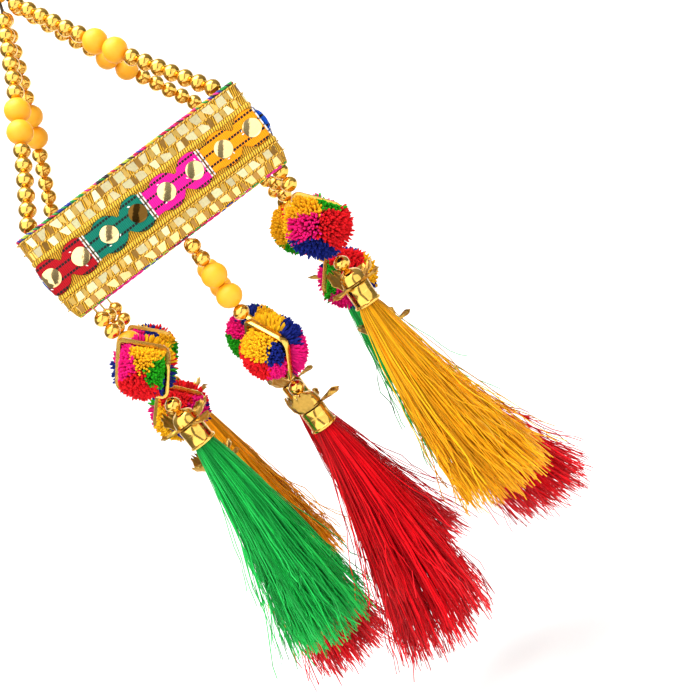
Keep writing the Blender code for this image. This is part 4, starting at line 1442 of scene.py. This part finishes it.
class JHOOMAR_OT_ribbon(bpy.types.Operator):
    """Make the coloured ribbon of rings, its foil discs, its bars and its small stitches."""

    bl_idname = "jhoomar.ribbon"
    bl_label = "Ribbon of rings"

    def execute(self, context):
        satin = ribbon_satin()
        disc_foil = foil("disc_foil", 0.09)
        unit = AROUND / MM / UNITS
        tones = {
            "red": tuple(colours().ribbon_red),
            "teal": tuple(colours().ribbon_teal),
            "pink": tuple(colours().ribbon_pink),
            "orange": tuple(colours().ribbon_orange),
            "blue": tuple(colours().ribbon_blue),
        }
        points = []
        faces = []
        tints = []
        columns = 64
        section = [
            (-1, 0.05), (-0.96, 0.62), (-0.5, 0.78), (0, 0.8),
            (0.5, 0.78), (0.96, 0.62), (1, 0.05), (0, -0.1),
        ]
        wide = len(section)
        for index in range(UNITS):
            tone = tones[RIBBONS[index % 5]]
            first = len(points)
            for k in range(columns + 1):
                run = unit * (0.012 + 0.976 * k / columns)
                half = ribbon_half(run)
                at = FIRST_BAR + index * unit + run
                proud = 0.0
                if index % 5 == 4:
                    swell = (run + 3.0) / 12.5 if run < 15 else (28.0 - run) / 12.5
                    proud = 1.3 * abs(math.sin(math.pi * min(1.0, swell)))
                for share, out in section:
                    out = out + proud * (1 - share ** 2) if out > 0.1 else out
                    points.append(Vector((at * MM, -out * MM, -(RING_DROP + share * half) * MM)))
                    tints.append(shade_of(tone, 0.35) if abs(share) == 1 else tone)
            for k in range(columns):
                for j in range(wide):
                    low = first + k * wide + j
                    high = first + k * wide + (j + 1) % wide
                    faces.append((low, low + wide, high + wide, high))
            faces.append([first + j for j in range(wide)])
            faces.append([first + columns * wide + j for j in range(wide)][::-1])
        ribbon = piece_of("ring_ribbon", points, faces, tints)
        wrap_round_hoop(ribbon)
        recalculate(ribbon)
        finish_piece(ribbon, satin, (), smooth=60)

        radius = sizes().disc_radius
        disc = spun_piece(
            "disc_model",
            [(0.00001, 0.42 * MM), (0.35 * radius, 0.38 * MM), (0.8 * radius, 0.24 * MM), (radius, 0.1 * MM),
             (radius, -0.2 * MM), (0.00001, -0.2 * MM)],
            28)
        chance = random.Random(SEED + 5)
        discs = []
        stitches = []
        stitch = stitch_model()
        for index in range(UNITS):
            for order, centre in enumerate((RING_ONE, RING_TWO)):
                at = (FIRST_BAR + index * unit + centre) * MM
                if index == 1 and order == 1:
                    tone = DULL_FOIL
                else:
                    tone = shade_of(PALE_FOIL, chance.uniform(0.9, 1.05))
                tilt = Matrix.Rotation(chance.uniform(-0.07, 0.07), 4, "X")
                tilt = tilt @ Matrix.Rotation(chance.uniform(-0.09, 0.09), 4, "Z")
                face = Matrix.Rotation(math.pi / 2, 4, "X")
                place = Matrix.Translation((at, -0.86 * MM, -RING_DROP * MM)) @ tilt @ face
                discs.append((disc, place, tone))
                for k in range(2):
                    angle = chance.uniform(0, 6.28)
                    away = Vector((math.cos(angle), 0, math.sin(angle))) * 3.9 * MM
                    spot = Matrix.Translation(Vector((at, -0.92 * MM, -RING_DROP * MM)) + away)
                    spot = spot @ Matrix.Rotation(chance.uniform(0, 3), 4, "Y")
                    stitches.append((stitch, spot, (0.95, 0.93, 0.88, 1)))
        piece = copies_as_one("foil_discs", discs)
        wrap_round_hoop(piece)
        finish_piece(piece, disc_foil, (), smooth=30)
        white = tinted_thread("white_stitches", 0.6, 0.1, 2600, 0.4)
        piece = copies_as_one("small_stitches", stitches)
        wrap_round_hoop(piece)
        finish_piece(piece, white, (), smooth=60)
        discard(disc, stitch)

        cords = []
        for index in range(UNITS):
            for side in (-0.55, 0.55):
                at = (FIRST_BAR + index * unit + side) * MM
                path = []
                tones_here = []
                for k in range(21):
                    drop = (RING_DROP - 5.4 + 10.8 * k / 20) * MM
                    path.append(hoop_spot(at, 0.95 * MM + 0.06 * MM * math.cos(k * 2.2), drop))
                    tones_here.append((0.03, 0.03, 0.03, 1) if k % 5 == 3 else (0.78, 0.76, 0.72, 1))
                cords.append((path, 0.3 * MM, tones_here))
        bars = tubes_as_one("ribbon_bars", cords, 6)
        finish_piece(bars, white, (), smooth=80)
        return {"FINISHED"}


def stitch_model():
    """One short stitch, a slim drop along X."""
    clear_selection()
    bpy.ops.mesh.primitive_uv_sphere_add(segments=6, ring_count=4, radius=1)
    obj = bpy.context.object
    obj.scale = (0.55 * MM, 0.16 * MM, 0.2 * MM)
    settle(obj)
    return obj


class JHOOMAR_OT_edgings(bpy.types.Operator):
    """Make the twisted thread on the upper edge and the scalloped one on the lower edge."""

    bl_idname = "jhoomar.edgings"
    bl_label = "Edging threads"

    def execute(self, context):
        thread = tinted_thread("edging_thread", 0.6, 0.25, 2600, 0.7)
        dyes = [
            (0.55, 0.004, 0.06, 1), (0.85, 0.42, 0.02, 1), (0.012, 0.3, 0.05, 1), (0.01, 0.03, 0.3, 1),
            (0.75, 0.01, 0.25, 1), (0.4, 0.5, 0.05, 1), (0.03, 0.02, 0.03, 1),
        ]
        chance = random.Random(SEED + 6)
        count = 620
        twists = round(AROUND / (3.8 * MM))
        cords = []
        for ply in range(3):
            path = []
            tints = []
            pick = chance.randrange(len(dyes))
            for i in range(count):
                run = AROUND * i / count
                turn = TURN * (twists * i / count + ply / 3)
                out = (-0.75 + 0.5 * math.cos(turn)) * MM
                path.append(hoop_spot(run, out, (-0.5 + 0.34 * math.sin(turn)) * MM))
                if i % 9 == 0:
                    pick = chance.randrange(len(dyes))
                tints.append(dyes[pick])
            cords.append((path, 0.36 * MM, tints))
        piece = tubes_as_one("upper_edge_thread", cords, 5, closed=True)
        finish_piece(piece, thread, ("edging_top",), smooth=80)

        scallops = 66
        cords = []
        for ply in range(2):
            path = []
            tints = []
            pick = 0
            for i in range(scallops * 10):
                run = AROUND * i / (scallops * 10)
                wave = abs(math.sin(math.pi * (i / 10 + 0.5 * ply)))
                drop = (33.05 + 0.6 * wave) * MM
                out = (-0.55 + 0.25 * math.cos(math.pi * i / 5 + ply * math.pi)) * MM
                path.append(hoop_spot(run, out, drop))
                if i % 12 == 0:
                    pick = chance.randrange(len(dyes))
                tints.append(dyes[pick])
            cords.append((path, 0.3 * MM, tints))
        piece = tubes_as_one("lower_edge_thread", cords, 5, closed=True)
        finish_piece(piece, thread, ("edging_bottom",), smooth=80)
        return {"FINISHED"}


# The camera's place and axes, found from the hoop's corners and the beads in the photograph
CAMERA_SPOT = (5.146 * MM, -492.083 * MM, -32.384 * MM)
CAMERA_RIGHT = (0.794, -0.126, -0.595)
CAMERA_VIEW = (0.041, 0.987, -0.154)
CAMERA_LENS = 63.08


class JHOOMAR_OT_stage(bpy.types.Operator):
    """Make the pale sweep, the soft lights, the sky and the camera."""

    bl_idname = "jhoomar.stage"
    bl_label = "Stage, lights and camera"

    def execute(self, context):
        made, tree, shader = new_material("pale_sweep")
        node = add_grain(tree, 8, 0.0)
        tree.links.new(
            blend_colours(tree, node.outputs["Mask"], (0.9, 0.9, 0.9, 1), (0.93, 0.93, 0.93, 1)),
            shader.inputs["Base Color"])
        shader.inputs["Roughness"].default_value = 0.9
        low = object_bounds()[0][2] - 0.06
        profile = [(-1.0, low), (0.5, low)]
        for k in range(1, 13):
            angle = math.pi / 2 * k / 12
            profile.append((0.5 + 0.35 * math.sin(angle), low + 0.35 - 0.35 * math.cos(angle)))
        profile.append((0.85, low + 1.5))
        points = []
        faces = []
        for across in (-0.9, 0.9):
            points.extend((across, along, height) for along, height in profile)
        size = len(profile)
        for k in range(size - 1):
            faces.append((k, size + k, size + k + 1, k + 1))
        sweep = piece_of("pale_sweep", points, faces)
        sweep.data.materials.append(made)
        take(sweep)
        bpy.ops.object.shade_smooth()
        sweep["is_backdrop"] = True

        sky = bpy.data.worlds.new("studio_sky")
        context.scene.world = sky
        sky.use_nodes = True
        nodes = sky.node_tree
        back = nodes.nodes["Background"]
        place = add_node(nodes, "ShaderNodeTexCoord")
        split = add_node(nodes, "ShaderNodeSeparateXYZ")
        nodes.links.new(place.outputs["Generated"], split.inputs["Vector"])
        height = maths(nodes, "MULTIPLY_ADD", split.outputs["Z"], 0.5, 0.5)
        sky_colour = blend_colours(nodes, height, (0.3, 0.29, 0.27, 1), (1, 1, 1, 1), 0.35, 0.9)
        nodes.links.new(sky_colour, back.inputs["Color"])
        back.inputs["Strength"].default_value = 0.5

        view = Vector(CAMERA_VIEW).normalized()
        right = Vector(CAMERA_RIGHT)
        right = (right - right.dot(view) * view).normalized()
        up = right.cross(view)
        data = bpy.data.cameras.new("camera")
        data.lens = CAMERA_LENS
        data.sensor_width = 36
        data.clip_start = 0.01
        camera = bpy.data.objects.new("camera", data)
        context.scene.collection.objects.link(camera)
        axes = Matrix((right, up, -view)).transposed().to_4x4()
        spot = Vector(CAMERA_SPOT) + Vector((0, 0, HOOP_TOP))
        camera.matrix_world = Matrix.Translation(spot) @ axes
        context.scene.camera = camera

        aim = Vector((0, 0, -0.2))
        for name, place, size, glow in (
            ("left_softbox", spot - 0.49 * right + 0.1 * up - 0.1 * view, (0.95, 1.3), 1.8),
            ("right_softbox", spot + 0.47 * right - 0.1 * view, (0.95, 1.3), 1.35),
            ("upper_softbox", spot - 0.5 * right + 0.95 * up + 0.2 * view, (0.8, 0.8), 3.6),
            ("sweep_wash", Vector((0.0, 0.0, 0.75)), (1.2, 0.6), 4.0),
        ):
            data = bpy.data.lights.new(name, "AREA")
            data.shape = "RECTANGLE"
            data.size, data.size_y = size
            data.energy = glow * math.pi * size[0] * size[1]
            lamp = bpy.data.objects.new(name, data)
            target = Vector((0, 0.85, -0.35)) if name == "sweep_wash" else aim
            ahead = (target - place).normalized()
            side = ahead.cross(up).normalized()
            axes = Matrix((side, side.cross(ahead), -ahead)).transposed().to_4x4()
            lamp.matrix_world = Matrix.Translation(place) @ axes
            context.scene.collection.objects.link(lamp)
        context.scene.view_settings.view_transform = "Standard"
        context.scene.view_settings.look = "None"
        return {"FINISHED"}


OPERATORS = (
    JHOOMAR_OT_top,
    JHOOMAR_OT_strings,
    JHOOMAR_OT_lace,
    JHOOMAR_OT_braids,
    JHOOMAR_OT_gota,
    JHOOMAR_OT_ribbon,
    JHOOMAR_OT_edgings,
    JHOOMAR_OT_runs,
    JHOOMAR_OT_bands,
    JHOOMAR_OT_pompoms,
    JHOOMAR_OT_caps,
    JHOOMAR_OT_leaves,
    JHOOMAR_OT_tassels,
    JHOOMAR_OT_stage,
)


class JHOOMAR_PT_pieces(bpy.types.Panel):
    """Lists the pieces of the hanging in the sidebar."""

    bl_idname = "JHOOMAR_PT_pieces"
    bl_label = "Jhoomar"
    bl_space_type = "VIEW_3D"
    bl_region_type = "UI"
    bl_category = "Jhoomar"

    def draw(self, context):
        for group in (context.scene.jhoomar_sizes, context.scene.jhoomar_colours):
            column = self.layout.column()
            for key in group.bl_rna.properties.keys():
                if key not in ("rna_type", "name"):
                    column.prop(group, key)
        for operator in OPERATORS:
            self.layout.operator(operator.bl_idname)


CLASSES = (JHOOMAR_Sizes, JHOOMAR_Colours) + OPERATORS + (JHOOMAR_PT_pieces,)


def register():
    """Register the classes and the scene's properties."""
    for item in CLASSES:
        bpy.utils.register_class(item)
    bpy.types.Scene.jhoomar_sizes = bpy.props.PointerProperty(type=JHOOMAR_Sizes)
    bpy.types.Scene.jhoomar_colours = bpy.props.PointerProperty(type=JHOOMAR_Colours)


def unregister():
    """Take the properties and the classes away again."""
    del bpy.types.Scene.jhoomar_sizes
    del bpy.types.Scene.jhoomar_colours
    for item in reversed(CLASSES):
        bpy.utils.unregister_class(item)


def main():
    """Build every piece."""
    register()
    bpy.ops.jhoomar.top()
    bpy.ops.jhoomar.strings()
    bpy.ops.jhoomar.lace()
    bpy.ops.jhoomar.braids()
    bpy.ops.jhoomar.gota()
    bpy.ops.jhoomar.ribbon()
    bpy.ops.jhoomar.edgings()
    bpy.ops.jhoomar.runs()
    bpy.ops.jhoomar.bands()
    bpy.ops.jhoomar.pompoms()
    bpy.ops.jhoomar.caps()
    bpy.ops.jhoomar.leaves()
    bpy.ops.jhoomar.tassels()
    bpy.ops.jhoomar.stage()


if __name__ == "__main__":
    main()
